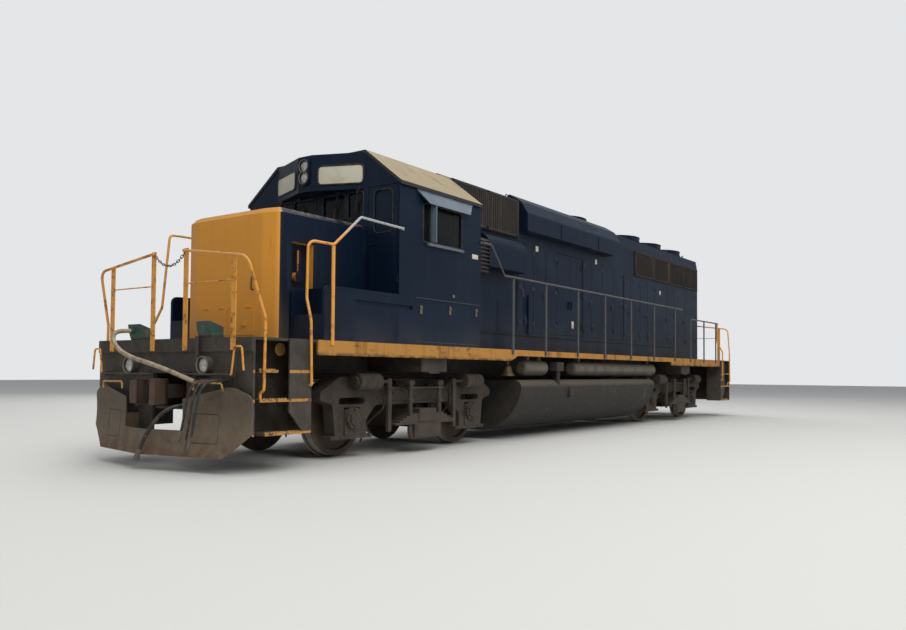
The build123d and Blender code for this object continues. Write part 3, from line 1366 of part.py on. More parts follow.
def truck_brakes(centre):
    pieces = []
    half_length = brake_cylinder_length / 2
    for side in (1, -1):
        y = side * brake_cylinder_y
        for end in (1, -1):
            x = centre + end * brake_cylinder_x
            can = rod_x(x - half_length, x + half_length, y, brake_cylinder_z, brake_cylinder_diameter / 2)
            can = can + rod_x(x + end * half_length, x + end * (half_length + 40), y, brake_cylinder_z,
                              brake_cylinder_diameter / 2 - 40)
            foot = block(x - 120, x + 120, side * truck_frame_outer, y, brake_cylinder_z - 90,
                         brake_cylinder_z - 20)
            lever = centre + end * brake_lever_x
            rod = rod_x(x - end * (half_length - 5), lever, y, brake_cylinder_z, 22)
            arm = prism("y", *sorted((y - 22, y + 22)), (lever - 32, rail + 300, 20),
                        (lever + 32, rail + 300, 20),
                        (lever + 40, brake_cylinder_z + 45, 30), (lever - 40, brake_cylinder_z + 45, 30))
            pieces.append(can + foot + rod + arm)
    return pieces


def truck_motors(centre):
    pieces = []
    for end in (1, -1):
        axle_x = centre + end * wheelbase / 2
        nose_x = centre + end * (transom_x + transom_half_width)
        case = block(nose_x + end * 30, nose_x + end * 600, -560, 560, rail + 260, rail + 620)
        lug = block(nose_x, nose_x + end * 120, -150, 150, rail + 600, rail + 780)
        cap = block(nose_x + end * 590, axle_x + end * 130, -520, 520, axle_height - 130, axle_height + 130)
        hole = rod_y(axle_x, -700, 700, axle_height, axle_diameter / 2 + journal_clearance)
        pieces.append(case + lug + cap - hole)
    return pieces


def make_trucks():
    for name, centre in (("front", truck_x), ("rear", -truck_x)):
        save(f"{name}_truck_frame", truck_frame(centre), *journal_boxes(centre))
        save(f"{name}_bolster", truck_bolster(centre))
        save(f"{name}_brakes", *truck_brakes(centre))
        save(f"{name}_motors", *truck_motors(centre))
    axles = [truck_x + wheelbase / 2, truck_x - wheelbase / 2, wheelbase / 2 - truck_x,
             -truck_x - wheelbase / 2]
    for number, x in enumerate(axles, 1):
        make_wheelset(f"wheelset_{number}", x)


make_underframe()
make_side_sills()
make_pilots()
make_plow()
make_tank()
make_reservoirs()
make_nose()
make_battery_boxes()
make_cab()
make_cab_roof()
make_number_box()
make_cab_glass()
make_cab_interior()
make_awnings()
make_cab_doors()
make_intake_hood()
make_grilles()
make_engine_hood()
make_blister()
make_radiator_hood()
make_cowls()
make_fans()
make_engine_doors()
make_side_handrails()
make_end_handrails()
make_step_rails()
make_lamps()
make_horn()
make_bell()
make_end_fittings()
make_hoses()
make_couplers()
make_trucks()
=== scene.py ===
"""Paint, small fittings and setting for a packed diesel locomotive, laid out as an add-on."""
import math

import bpy
from bpy.props import FloatProperty, FloatVectorProperty, PointerProperty
from mathutils import Matrix, Vector


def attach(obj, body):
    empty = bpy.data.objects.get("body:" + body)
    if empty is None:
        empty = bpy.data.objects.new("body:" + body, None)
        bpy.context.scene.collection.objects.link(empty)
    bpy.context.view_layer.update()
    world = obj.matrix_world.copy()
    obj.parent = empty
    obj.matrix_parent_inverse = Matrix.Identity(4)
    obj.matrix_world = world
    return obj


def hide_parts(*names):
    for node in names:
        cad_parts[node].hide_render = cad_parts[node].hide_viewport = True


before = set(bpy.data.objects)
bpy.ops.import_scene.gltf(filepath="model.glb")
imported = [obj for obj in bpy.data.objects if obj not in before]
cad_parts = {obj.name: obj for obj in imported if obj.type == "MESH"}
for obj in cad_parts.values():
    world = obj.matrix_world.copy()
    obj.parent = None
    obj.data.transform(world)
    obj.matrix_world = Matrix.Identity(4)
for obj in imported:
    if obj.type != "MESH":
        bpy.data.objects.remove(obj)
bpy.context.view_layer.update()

bl_info = {
    "name": "Diesel locomotive finish",
    "version": (1, 0, 0),
    "blender": (4, 5, 0),
    "location": "View3D > Sidebar > Locomotive",
    "description": "Paints the packed locomotive and adds its small fittings",
    "category": "Object",
}

# Heights are over the floor; the top of the rail lies one flange height up
RAIL = 0.028
DECK = RAIL + 1.503
WHEEL_RADIUS = 0.508
AXLE_Z = RAIL + WHEEL_RADIUS
HALF_WHEELBASE = 1.3715
TRUCKS = (5.1815, -5.1815)
SILL_Y = 1.524
HOOD_Y = 0.9
HOOD_PANEL_Y = HOOD_Y + 0.0085  # face of the raised doors
HOOD_TOP = RAIL + 4.35
CAB_FRONT = 6.1
CAB_REAR = 4.13
NOSE_FRONT = 7.72
PILOT = 8.56
STEP_Y = 1.5002
STEPS = ((0.427, 7.83, 8.40), (0.805, 8.05, 8.48), (1.137, 8.215, 8.49))  # height over rail, rear, front
SIDES = (1, -1)  # left, right; also front, rear


def tone(red, green, blue):
    """A colour given as it looks on a screen, 0 to 255, as linear light."""
    return tuple(((value / 255 + 0.055) / 1.055) ** 2.4 if value > 10 else value / 3294
                 for value in (red, green, blue))


def paint_property(name, description, default):
    return FloatVectorProperty(name=name, description=description, default=default, size=3, subtype="COLOR",
                               min=0.0, max=1.0)


def length_property(name, description, default):
    return FloatProperty(name=name, description=description, default=default, min=0.0, unit="LENGTH")


class LocoPaint(bpy.types.PropertyGroup):
    """Colours of the paints and of what lies on them."""
    navy: paint_property("Navy", "Dark blue of the hoods and cab", tone(7, 22, 41))
    # The faded colours also serve, through dusty_paint, as the painted sky reflection on upward faces
    navy_faded: paint_property("Faded navy", "Chalked blue on the sunny panels", tone(36, 54, 68))
    yellow: paint_property("Yellow", "Golden yellow of the nose and sill", tone(226, 154, 58))
    yellow_faded: paint_property("Faded yellow", "Dull yellow under grime", tone(190, 134, 62))
    cream: paint_property("Cream", "Faded roof paint", tone(164, 148, 118))
    plate: paint_property("Plate", "Blank number boards", tone(206, 200, 178))
    awning: paint_property("Awning", "Blue-grey of the awnings", tone(90, 102, 114))
    black: paint_property("Underframe", "Dusty black under the deck", tone(46, 43, 39))
    dust: paint_property("Dust", "Ballast dust", tone(112, 98, 80))
    brown: paint_property("Grille", "Brown dust on grilles", tone(50, 43, 39))
    rust: paint_property("Rust", "Rust", tone(92, 52, 30))
    steel: paint_property("Steel", "Worn bare steel", tone(150, 146, 140))
    rubber: paint_property("Rubber", "Hose rubber", tone(40, 38, 36))
    jacket: paint_property("Cable jacket", "Cream jacket of the jumper", tone(168, 152, 124))
    cab_green: paint_property("Cab lining", "Paint inside the cab", tone(84, 92, 84))
    glass: paint_property("Glass", "Tint of the dusty glass", tone(30, 34, 32))


class LocoSizes(bpy.types.PropertyGroup):
    """Sizes of the added fittings."""
    jumper: length_property("Jumper", "Diameter of the jumper cable", 0.054)
    brake_hose: length_property("Brake hose", "Diameter of the brake hose", 0.046)
    control_hose: length_property("Control hose", "Diameter of the control hoses", 0.026)
    chain_bar: length_property("Chain bar", "Thickness of a chain link's bar", 0.009)
    chain_link: length_property("Chain link", "Length of a chain link", 0.055)
    bolt: length_property("Bolt", "Width of a bolt head", 0.034)
    hinge: length_property("Hinge", "Height of a hood door hinge", 0.09)
    latch: length_property("Latch", "Height of a hood door latch", 0.16)
    floor: length_property("Floor", "Side of the floor", 160.0)


# Shading: nodes, sockets with arithmetic, and a material under construction
def feed(tree, node, inputs):
    """Set the inputs of a node, or link them where a socket or a Term is given."""
    for key, value in dict(inputs).items():
        if isinstance(value, Term):
            value = value.socket
        if isinstance(value, bpy.types.NodeSocket):
            tree.links.new(value, node.inputs[key])
        elif value is not None:
            node.inputs[key].default_value = value


def add_node(tree, kind, inputs=(), **settings):
    node = tree.nodes.new(kind)
    for key, value in settings.items():
        setattr(node, key, value)
    feed(tree, node, inputs)
    return node


class Term:
    """A socket of a material, so that a pattern is written as sums and products."""

    def __init__(self, tree, socket):
        self.tree = tree
        self.socket = socket

    def combine(self, operation, other=None, flip=False, clamp=False):
        pair = (other, self) if flip else (self, other)
        node = add_node(self.tree, "ShaderNodeMath", enumerate(pair), operation=operation, use_clamp=clamp)
        return Term(self.tree, node.outputs[0])

    def __add__(self, other):
        return self.combine("ADD", other)

    def __sub__(self, other):
        return self.combine("SUBTRACT", other)

    def __rsub__(self, other):
        return self.combine("SUBTRACT", other, flip=True)

    def __mul__(self, other):
        return self.combine("MULTIPLY", other)

    __radd__ = __add__

    def __abs__(self):
        return self.combine("ABSOLUTE")

    def over(self, level):
        return self.combine("GREATER_THAN", level)

    def clamp(self):
        return self.combine("ADD", 0.0, clamp=True)

    def highest(self, other):
        return self.combine("MAXIMUM", other)

    def lowest(self, other):
        return self.combine("MINIMUM", other)

    def step(self, start, end):
        """0 at start and 1 at end, smooth between them; start may be the higher one."""
        rising = start < end
        node = add_node(self.tree, "ShaderNodeMapRange",
                        {"Value": self, "From Min": min(start, end), "From Max": max(start, end),
                         "To Min": 0.0 if rising else 1.0, "To Max": 1.0 if rising else 0.0},
                        interpolation_type="SMOOTHSTEP")
        return Term(self.tree, node.outputs["Result"])


class Finish:
    """A material built from the place of a point on the locomotive."""

    def __init__(self, name, roughness=0.5, metallic=0.0, specular=0.5):
        self.material = bpy.data.materials.new(name)
        self.material.use_nodes = True
        self.tree = self.material.node_tree
        self.shade(Roughness=roughness, Metallic=metallic, Specular_IOR_Level=specular)
        texture = self.tree.nodes.new("ShaderNodeTexCoord")
        self.place = texture.outputs["Object"]
        self.x, self.y, self.z = self.split(self.place)
        self.nx, self.ny, self.nz = self.split(texture.outputs["Normal"])
        self.color = None

    def shade(self, **inputs):
        """Give inputs to the shader; a space in their names is written as an underscore."""
        feed(self.tree, self.tree.nodes["Principled BSDF"],
             {key.replace("_", " "): value for key, value in inputs.items()})
        return self

    def split(self, socket):
        node = add_node(self.tree, "ShaderNodeSeparateXYZ", {0: socket})
        return [Term(self.tree, output) for output in node.outputs]

    def mapped(self, shift, stretch):
        node = add_node(self.tree, "ShaderNodeMapping", {
            "Vector": self.place, "Scale": stretch, "Location": (shift, shift * 0.7, shift * 1.3)})
        return node.outputs["Vector"]

    def noise(self, scale, detail, grain, shift=0.0, stretch=(1, 1, 1)):
        node = add_node(self.tree, "ShaderNodeTexNoise", {
            "Vector": self.mapped(shift, stretch), "Scale": scale, "Detail": detail, "Roughness": grain})
        return Term(self.tree, node.outputs["Fac"])

    def cells(self, scale):
        node = add_node(self.tree, "ShaderNodeTexVoronoi", {
            "Vector": self.mapped(0.0, (1, 1, 1)), "Scale": scale})
        return Term(self.tree, node.outputs["Distance"])

    def streaks(self, low, high, scale, shift):
        """Runs down an upright face, thin across and long in height."""
        return self.noise(scale, 5.0, 0.6, shift, (1.0, 1.0, 0.09)).step(low, high)

    def lay(self, color, amount=None, dim=1.0):
        """Lay a paint, or a colour as it looks on a screen, over what is there, by an amount from 0 to 1."""
        light = getattr(bpy.context.scene.loco_paint, color) if isinstance(color, str) else tone(*color)
        light = (*(value * dim for value in light), 1.0)
        if self.color is None:
            node = self.tree.nodes.new("ShaderNodeRGB")
            node.outputs[0].default_value = light
            self.color = node.outputs[0]
        else:
            node = add_node(self.tree, "ShaderNodeMix", {0: amount, 6: self.color, 7: light},
                            data_type="RGBA")
            self.color = node.outputs[2]

    def roughen(self, term):
        self.shade(Roughness=term.clamp())

    def relief(self, term, distance, strength):
        node = add_node(self.tree, "ShaderNodeBump", {
            "Height": term, "Distance": distance, "Strength": strength})
        return self.shade(Normal=node.outputs["Normal"])

    def done(self):
        self.shade(Base_Color=self.color)
        return self.material


def dusty_paint(name, color, faded, wear, dust_top, dust, roughness, shift):
    """Coachwork paint: chalked in patches, lighter on upward faces as chalking and a painted sky reflection,
    dusty low down, with runs, chips and stone marks.
    """
    f = Finish(name, roughness, specular=0.22)
    f.lay(color)
    patch = f.noise(0.9, 5.0, 0.6, shift, (0.6, 0.6, 1.0)).step(0.35, 0.75)
    # Chalked paint in random patches; on upward faces the lighter colour is partly chalking and partly a
    # painted sky reflection
    f.lay(faded, patch * (0.12 + 0.4 * wear) + f.nz.step(0.2, 0.9) * 0.35)
    f.lay(faded, f.streaks(0.52, 0.78, 6.0, shift + 2) * (0.35 * wear + 0.1))
    f.lay(color, f.streaks(0.56, 0.8, 9.0, shift + 11) * (0.12 + 0.4 * wear), 0.4)
    low = f.z.step(dust_top, 1.35) * f.noise(2.2, 5.0, 0.6, shift + 5, (1, 1, 0.4)).step(0.25, 0.7)
    flat = f.nz.step(0.5, 0.9) * f.noise(1.5, 4.0, 0.6, shift + 3).step(0.3, 0.7)
    grime = (low * dust + flat * 0.35 * dust).clamp()
    f.lay("dust", grime * 0.75)
    chips = f.noise(34.0, 3.0, 0.7, shift + 7, (1, 1, 0.8)).step(0.70, 0.74)
    chips = chips * f.noise(1.7, 3.0, 0.6, shift + 9).step(0.45, 0.62)
    f.lay("rust", chips * wear)
    f.lay("rust", chips * f.streaks(0.5, 0.6, 20.0, shift + 13) * 0.4 * wear)
    uneven = f.noise(5.0, 4.0, 0.6, shift, (1, 1, 0.5)) * 0.25
    f.roughen(uneven + grime * 0.4 + chips * 0.3 + (roughness - 0.1))
    wave = f.noise(1.3, 2.0, 0.5, shift + 21) * 0.8
    return f.relief(wave + f.noise(90.0, 2.0, 0.5) * 0.06 - chips * 0.12, 0.006, 0.35)


def rough_metal(name, color, shift, rust, dust, dust_top):
    """Cast or plain steel under dust: rusty in places, darker in its hollows."""
    f = Finish(name, 0.75)
    f.lay(color)
    f.lay(color, f.noise(3.0, 5.0, 0.65, shift).step(0.5, 0.75) * 0.8, 0.45)
    f.lay("rust", f.noise(6.0, 5.0, 0.7, shift + 4, (1, 1, 0.6)).step(0.52, 0.72) * rust)
    scatter = f.noise(4.5, 5.0, 0.65, shift + 8).step(0.3, 0.7)
    cover = (f.nz.step(0.25, 0.9) * 0.7 + scatter * 0.45 + f.z.step(dust_top, 0.1) * 0.25).clamp() * dust
    f.lay("dust", cover)
    grease = f.noise(2.4, 4.0, 0.6, shift + 15).step(0.62, 0.72)
    f.lay((22, 20, 18), grease * 0.55)
    f.roughen(0.55 + cover * 0.3 + f.noise(12.0, 3.0, 0.6, shift) * 0.2 - grease * 0.25)
    return f.relief(f.noise(28.0, 6.0, 0.7, shift + 1) + cover * 0.3, 0.006, 0.5)


# The finishes of this locomotive that take more than the two above
def nose_paint(name):
    """Yellow in front and on the slanting corners, navy from the side planes back."""
    f = dusty_paint(name, "yellow", "yellow_faded", 0.25, 2.1, 0.25, 0.42, 31)
    side = abs(f.ny).step(0.6, 0.7)
    top = f.nz.step(0.6, 0.7) * f.x.step(NOSE_FRONT - 0.13, NOSE_FRONT - 0.14)
    flank = side * f.x.step(NOSE_FRONT - 0.075, NOSE_FRONT - 0.08)
    f.lay("navy", flank.highest(top))
    f.lay("navy_faded", flank * f.streaks(0.5, 0.75, 6.0, 33) * 0.5)
    f.lay("dust", flank * f.z.step(2.3, 1.5) * 0.35)
    stains = f.streaks(0.58, 0.75, 16.0, 36) * f.z.step(2.2, 3.2)
    f.lay((96, 70, 40), stains * (1 - side) * 0.4)
    rim = f.z.step(3.14, 3.2) * f.noise(14.0, 4.0, 0.6, 38).step(0.4, 0.7)
    f.lay((150, 126, 92), rim * 0.6)
    return f


def sill_paint(name):
    """Weathered yellow with rust runs, oil and worn patches."""
    f = dusty_paint(name, "yellow_faded", (172, 122, 60), 0.6, 1.9, 0.2, 0.6, 51)
    f.lay("rust", f.streaks(0.52, 0.7, 5.0, 52) * 0.6)
    f.lay((60, 44, 32), f.noise(3.2, 6.0, 0.7, 53, (1, 1, 2.4)).step(0.54, 0.68) * 0.55)
    f.lay((40, 34, 28), f.z.step(1.40, 1.35) * f.noise(6.0, 4.0, 0.6, 54).step(0.3, 0.6) * 0.8)
    return f


def rail_paint(name, color, shift):
    """Handled rails: paint worn through to dark steel and rust."""
    f = Finish(name)
    f.lay(color)
    worn = f.noise(5.0, 5.0, 0.65, shift).step(0.52, 0.66)
    f.lay("rust", worn * 0.7)
    f.lay((40, 38, 38), f.noise(11.0, 4.0, 0.65, shift + 3).step(0.56, 0.64) * 0.6)
    f.lay((150, 146, 138), f.nz.step(0.2, 0.9) * 0.45)
    f.roughen(worn * 0.3 + 0.42)
    return f.relief(f.noise(60.0, 3.0, 0.6) - worn * 0.5, 0.002, 0.4)


def step_rail_paint(name):
    """Yellow toward the steps, turning pale grey toward the cab."""
    f = Finish(name)
    f.lay("yellow")
    f.lay((168, 172, 170), f.x.step(7.35, 6.9) * f.x.over(0))
    worn = f.noise(6.0, 5.0, 0.65, 61).step(0.55, 0.68)
    f.lay((70, 58, 48), worn * 0.6)
    f.roughen(worn * 0.3 + 0.4)
    return f.relief(f.noise(60.0, 3.0, 0.6) - worn * 0.4, 0.002, 0.4)


def step_edge_paint(name):
    """Yellow rubbed through by boots and scraped by ballast."""
    f = Finish(name, 0.6)
    f.lay((196, 150, 74))
    f.lay((86, 70, 54), f.noise(16.0, 5.0, 0.65, 311).step(0.5, 0.66) * 0.8)
    f.lay("rust", f.noise(30.0, 3.0, 0.6, 313).step(0.6, 0.7) * 0.5)
    return f.relief(f.noise(60.0, 3.0, 0.6), 0.001, 0.4)


def underframe_paint(name):
    """Dusty black, with the edges of the steps picked out in yellow."""
    f = rough_metal(name, "black", 71, 0.3, 0.65, 1.4)
    edge = abs(f.ny).step(0.7, 0.9) * abs(f.y).step(1.46, 1.47)
    worn = f.noise(12.0, 4.0, 0.6, 73).step(0.66, 0.5)
    for height, _, _ in STEPS:
        top = RAIL + height
        tread = f.z.step(top - 0.036, top - 0.031) * f.z.step(top + 0.001, top)
        f.lay("yellow_faded", tread * edge * worn)
    return f


def end_fitting_paint(name):
    """Black and rusty pipes, worn yellow lever handles and green jumper lids."""
    f = rough_metal(name, (50, 45, 41), 76, 0.5, 0.45, 1.2)
    handle = abs(f.y).over(1.26) * f.x.over(8.6)
    f.lay("yellow", handle * f.noise(14.0, 4.0, 0.65, 77).step(0.66, 0.5))
    lid = f.z.step(DECK + 0.03, DECK + 0.032) * abs(f.y).over(0.5) * abs(f.y).step(0.85, 0.84)
    f.lay((46, 74, 66), lid)
    f.lay((98, 92, 80), lid * f.noise(9.0, 5.0, 0.7, 79).step(0.5, 0.68))
    return f


def plow_paint(name):
    """Scuffed black with scrapes where ballast and snow have run over it."""
    f = rough_metal(name, (84, 72, 58), 81, 0.35, 0.95, 1.2)
    f.lay((120, 104, 86), f.noise(5.0, 6.0, 0.75, 82, (0.4, 3.0, 1.2)).step(0.55, 0.7) * 0.5)
    f.lay((126, 110, 90), f.z.step(0.75, 0.35) * f.noise(4.0, 5.0, 0.65, 83).step(0.25, 0.6) * 0.6)
    f.lay("rust", f.z.step(0.5, 0.2) * f.noise(7.0, 4.0, 0.6, 84).step(0.4, 0.6) * 0.6)
    return f


def tank_paint(name, color, dust):
    """Dull grey-black with fuel stains below the fillers, a round top lightened as dust and painted top
    light, and an underside darkened as painted shade.
    """
    f = rough_metal(name, color, 91, 0.2, dust, 0.6)
    f.lay((30, 27, 24), f.streaks(0.48, 0.7, 4.0, 93) * 0.45)
    # Upward faces lighter: partly dust, partly painted light on the top
    f.lay((108, 98, 82), f.nz.step(0.05, 0.6) * 0.45)
    # Downward faces darker: painted shade on the underside
    f.lay((24, 22, 20), f.nz.step(-0.1, -0.6) * 0.5)
    return f


def wheel_metal(name):
    """Brown steel with an oily hub, and a tread polished by the rail."""
    f = rough_metal(name, (64, 50, 40), 111, 0.45, 0.4, 0.6)
    outer, inner = (abs(abs(f.x) - (TRUCKS[0] + way * HALF_WHEELBASE)) for way in SIDES)
    across, up = outer.lowest(inner), f.z - AXLE_Z
    radius = (across * across + up * up).combine("POWER", 0.5)
    tread = radius.step(WHEEL_RADIUS - 0.005, WHEEL_RADIUS - 0.002)
    f.lay("steel", tread * abs(f.ny).step(0.9, 0.6))
    f.lay((26, 23, 20), radius.step(0.16, 0.12) * 0.8)
    return f


def grille_metal(name):
    """Brown-black screen over shutters."""
    f = Finish(name, 0.8)
    f.lay("brown")
    f.lay((26, 23, 22), f.noise(2.2, 4.0, 0.6, 131, (1, 1, 0.3)).step(0.4, 0.7) * 0.7)
    f.lay("dust", f.streaks(0.55, 0.75, 6.0, 133) * 0.35)
    mesh = (f.x * 130.0).combine("SINE") * (f.z * 130.0).combine("SINE")
    return f.relief(mesh * 0.5 + f.noise(30.0, 3.0, 0.6), 0.004, 0.5)


def cream_paint(name):
    """Faded roof paint with soot, scuffs and pale patches of painted highlight, over a navy edge."""
    f = dusty_paint(name, "cream", (150, 134, 104), 0.6, 2.0, 0.2, 0.6, 151)
    f.lay((92, 80, 64), f.noise(2.6, 6.0, 0.7, 153).step(0.52, 0.72) * 0.55)
    # Pale patches laid at random: painted highlight on the roof
    f.lay((192, 180, 152), f.noise(5.0, 4.0, 0.6, 155).step(0.6, 0.72) * 0.4)
    f.lay("navy", f.nz.step(0.5, 0.2) * 0.9)
    return f


def dusty_glass(name):
    """Dark grey-green panes filmed with dust."""
    f = Finish(name, 0.12, specular=0.25)
    f.lay("glass", dim=0.5)
    film = f.noise(3.0, 5.0, 0.65, 191, (1, 1, 0.6)).step(0.35, 0.8)
    f.lay("dust", film * 0.08)
    f.roughen(film * 0.3 + 0.08)
    return f.shade(Alpha=(film * 0.2 + 0.68).clamp())


def lamp_glass(name):
    """Fluted lens over a silvered reflector."""
    f = Finish(name, 0.16, 0.55, 0.8)
    f.lay((206, 204, 196))
    f.lay((120, 118, 110), f.noise(20.0, 3.0, 0.6, 201).step(0.45, 0.75) * 0.5)
    return f.relief((f.y * 420.0).combine("SINE"), 0.002, 0.5)


def hose_rubber(name):
    f = Finish(name, 0.7)
    f.lay("rubber")
    dusty = f.noise(18.0, 4.0, 0.65, 211).step(0.4, 0.7)
    f.lay("dust", (dusty * 0.5 + f.nz.step(0.2, 0.9) * 0.3).clamp())
    f.roughen(dusty * 0.2 + 0.62)
    return f.relief(f.noise(140.0, 3.0, 0.6) + dusty * 0.3, 0.001, 0.6)


def cable_jacket(name):
    f = Finish(name, 0.6)
    f.lay("jacket")
    f.lay((92, 78, 60), f.noise(9.0, 5.0, 0.7, 221).step(0.42, 0.66) * 0.75)
    f.lay((52, 44, 36), f.noise(26.0, 4.0, 0.7, 223).step(0.58, 0.7) * 0.8)
    return f.relief(f.noise(70.0, 2.0, 0.5, 225), 0.002, 0.6)


def window_rubber(name):
    f = Finish(name, 0.55)
    f.lay((22, 22, 22))
    f.lay("dust", f.noise(12.0, 4.0, 0.6, 241).step(0.45, 0.75) * 0.4)
    return f.relief(f.noise(90.0, 2.0, 0.5), 0.001, 0.4)


def plate_paint(name):
    """Blank boards, a little yellowed and fly-specked."""
    f = Finish(name, 0.35)
    f.lay("plate")
    f.lay((176, 162, 124), f.noise(6.0, 4.0, 0.6, 251).step(0.45, 0.8) * 0.6)
    f.lay((90, 82, 70), f.noise(60.0, 3.0, 0.6, 253).step(0.68, 0.74) * 0.5)
    return f.relief(f.noise(50.0, 2.0, 0.5), 0.0006, 0.3)


def reflector_orange(name):
    f = Finish(name, 0.25)
    f.lay((255, 150, 60))
    f.lay((255, 214, 130), f.cells(160.0).step(0.1, 0.4) * 0.7)
    return f.relief(f.cells(160.0), 0.001, 0.5)


def bell_brass(name):
    f = Finish(name, 0.5, 0.6)
    f.lay((104, 84, 52))
    f.lay("dust", f.noise(9.0, 5.0, 0.65, 261).step(0.4, 0.7) * 0.7)
    return f.relief(f.noise(40.0, 4.0, 0.6), 0.002, 0.4)


FINISHES = {  # the maker of each material and what it is given
    # colour, shift of the patterns, rust, dust, top of the dust
    "truck_metal": (rough_metal, (46, 39, 32), 101, 0.25, 0.5, 1.3),
    "coupler_metal": (rough_metal, (72, 54, 42), 121, 0.7, 0.35, 0.8),
    "fan_metal": (rough_metal, (58, 58, 58), 141, 0.2, 0.45, 0.5),
    "engine_paint": (rough_metal, (96, 98, 96), 181, 0.15, 0.3, 2.0),
    "fitting_steel": (rough_metal, (112, 104, 94), 231, 0.5, 0.4, 1.0),
    "hardware_paint": (rough_metal, (30, 46, 64), 301, 0.5, 0.35, 2.2),
    # colour, faded colour (also the painted sky reflection on upward faces), wear, top of the dust, dust,
    # roughness, shift of the patterns
    "intake_paint": (dusty_paint, "navy", "navy_faded", 0.3, 2.3, 0.35, 0.4, 17),
    "hood_paint": (dusty_paint, "navy", "navy_faded", 0.5, 2.3, 0.35, 0.4, 23),
    "radiator_paint": (dusty_paint, "navy", "navy_faded", 0.45, 2.3, 0.35, 0.4, 29),
    "blister_paint": (dusty_paint, "navy", "navy_faded", 0.0, 2.3, 0.35, 0.4, 37),
    "cowl_paint": (dusty_paint, "navy", "navy_faded", 0.4, 2.3, 0.35, 0.4, 41),
    "cab_paint": (dusty_paint, "navy", "navy_faded", 0.25, 2.0, 0.3, 0.34, 11),
    "box_navy": (dusty_paint, "navy", "navy_faded", 0.25, 2.0, 0.3, 0.34, 5),
    "awning_paint": (dusty_paint, "awning", (150, 158, 164), 0.5, 2.0, 0.4, 0.5, 161),
    "cab_lining": (dusty_paint, "cab_green", (104, 112, 104), 0.2, 2.4, 0.3, 0.6, 171),
    "tank_paint": (tank_paint, (40, 37, 32), 0.28),
    "reservoir_paint": (tank_paint, (104, 99, 86), 0.55),
    "dark_rails": (rail_paint, (70, 73, 76), 43),
    "yellow_rails": (rail_paint, "yellow", 47),
}
FINISHES.update({maker.__name__: (maker,) for maker in (
    nose_paint, sill_paint, step_rail_paint, step_edge_paint, underframe_paint, end_fitting_paint, plow_paint,
    wheel_metal, grille_metal, cream_paint, dusty_glass, lamp_glass, hose_rubber, cable_jacket, window_rubber,
    plate_paint, reflector_orange, bell_brass)})

WEARERS = {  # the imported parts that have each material
    "underframe_paint": "main_frame pilots",
    "sill_paint": "side_sills",
    "plow_paint": "snow_plow",
    "tank_paint": "fuel_tank",
    "reservoir_paint": "air_reservoirs",
    "nose_paint": "nose",
    "box_navy": "battery_boxes",
    "cab_paint": "cab_shell number_board_box front_cab_door rear_cab_door",
    "cream_paint": "cab_roof",
    "dusty_glass": "cab_glass",
    "cab_lining": "cab_interior",
    "awning_paint": "awnings",
    "intake_paint": "intake_hood",
    "hood_paint": "engine_hood left_engine_door_front left_engine_door_rear right_engine_door_front"
                  " right_engine_door_rear",
    "radiator_paint": "radiator_hood",
    "blister_paint": "brake_blister",
    "cowl_paint": "fan_cowls",
    "engine_paint": "engine_block",
    "grille_metal": "air_grilles",
    "fan_metal": "horn brake_fan radiator_fan_1 radiator_fan_2 radiator_fan_3",
    "lamp_glass": "lamps",
    "bell_brass": "bell",
    "dark_rails": "side_handrails",
    "yellow_rails": "end_handrails",
    "step_rail_paint": "step_rails",
    "end_fitting_paint": "end_fittings",
    "fitting_steel": "hose_couplings",
    "cable_jacket": "jumper_cable",
    "hose_rubber": "front_brake_hose control_hose_1 control_hose_2 control_hose_3",
    "coupler_metal": "front_coupler rear_coupler front_knuckle rear_knuckle",
    "truck_metal": "front_truck_frame front_bolster front_brakes front_motors"
                   " rear_truck_frame rear_bolster rear_brakes rear_motors",
    "wheel_metal": "wheelset_1 wheelset_2 wheelset_3 wheelset_4",
}

_ready = {}


def finish_of(name):
    """The material of a name, made once."""
    if name not in _ready:
        maker, *values = FINISHES[name]
        _ready[name] = maker(name, *values).done()
    return _ready[name]


class LOCO_OT_paint(bpy.types.Operator):
    """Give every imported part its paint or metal"""
    bl_idname = "loco.paint"
    bl_label = "Paint the parts"

    def execute(self, context):
        worn = {node: name for name, nodes in WEARERS.items() for node in nodes.split()}
        for node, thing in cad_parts.items():
            thing.data.materials.clear()
            thing.data.materials.append(finish_of(worn[node]))
        return {"FINISHED"}


# Camera, lights and floor
CAMERA_PLACE = (14.5152, 8.5097, 1.1261 + RAIL)
CAMERA_TURN = (35.02, 1.99, 0.41)  # yaw, pitch and roll
SKY_LIGHTS = (  # name, place, height of the target, size, power
    ("sky_left", (12, 16, 17), 1.5, 16, 2500),
    ("sky_right", (-10, -18, 16), 2, 16, 1700),
    ("sky_top", (0, 2, 22), 2, 24, 2600),
)


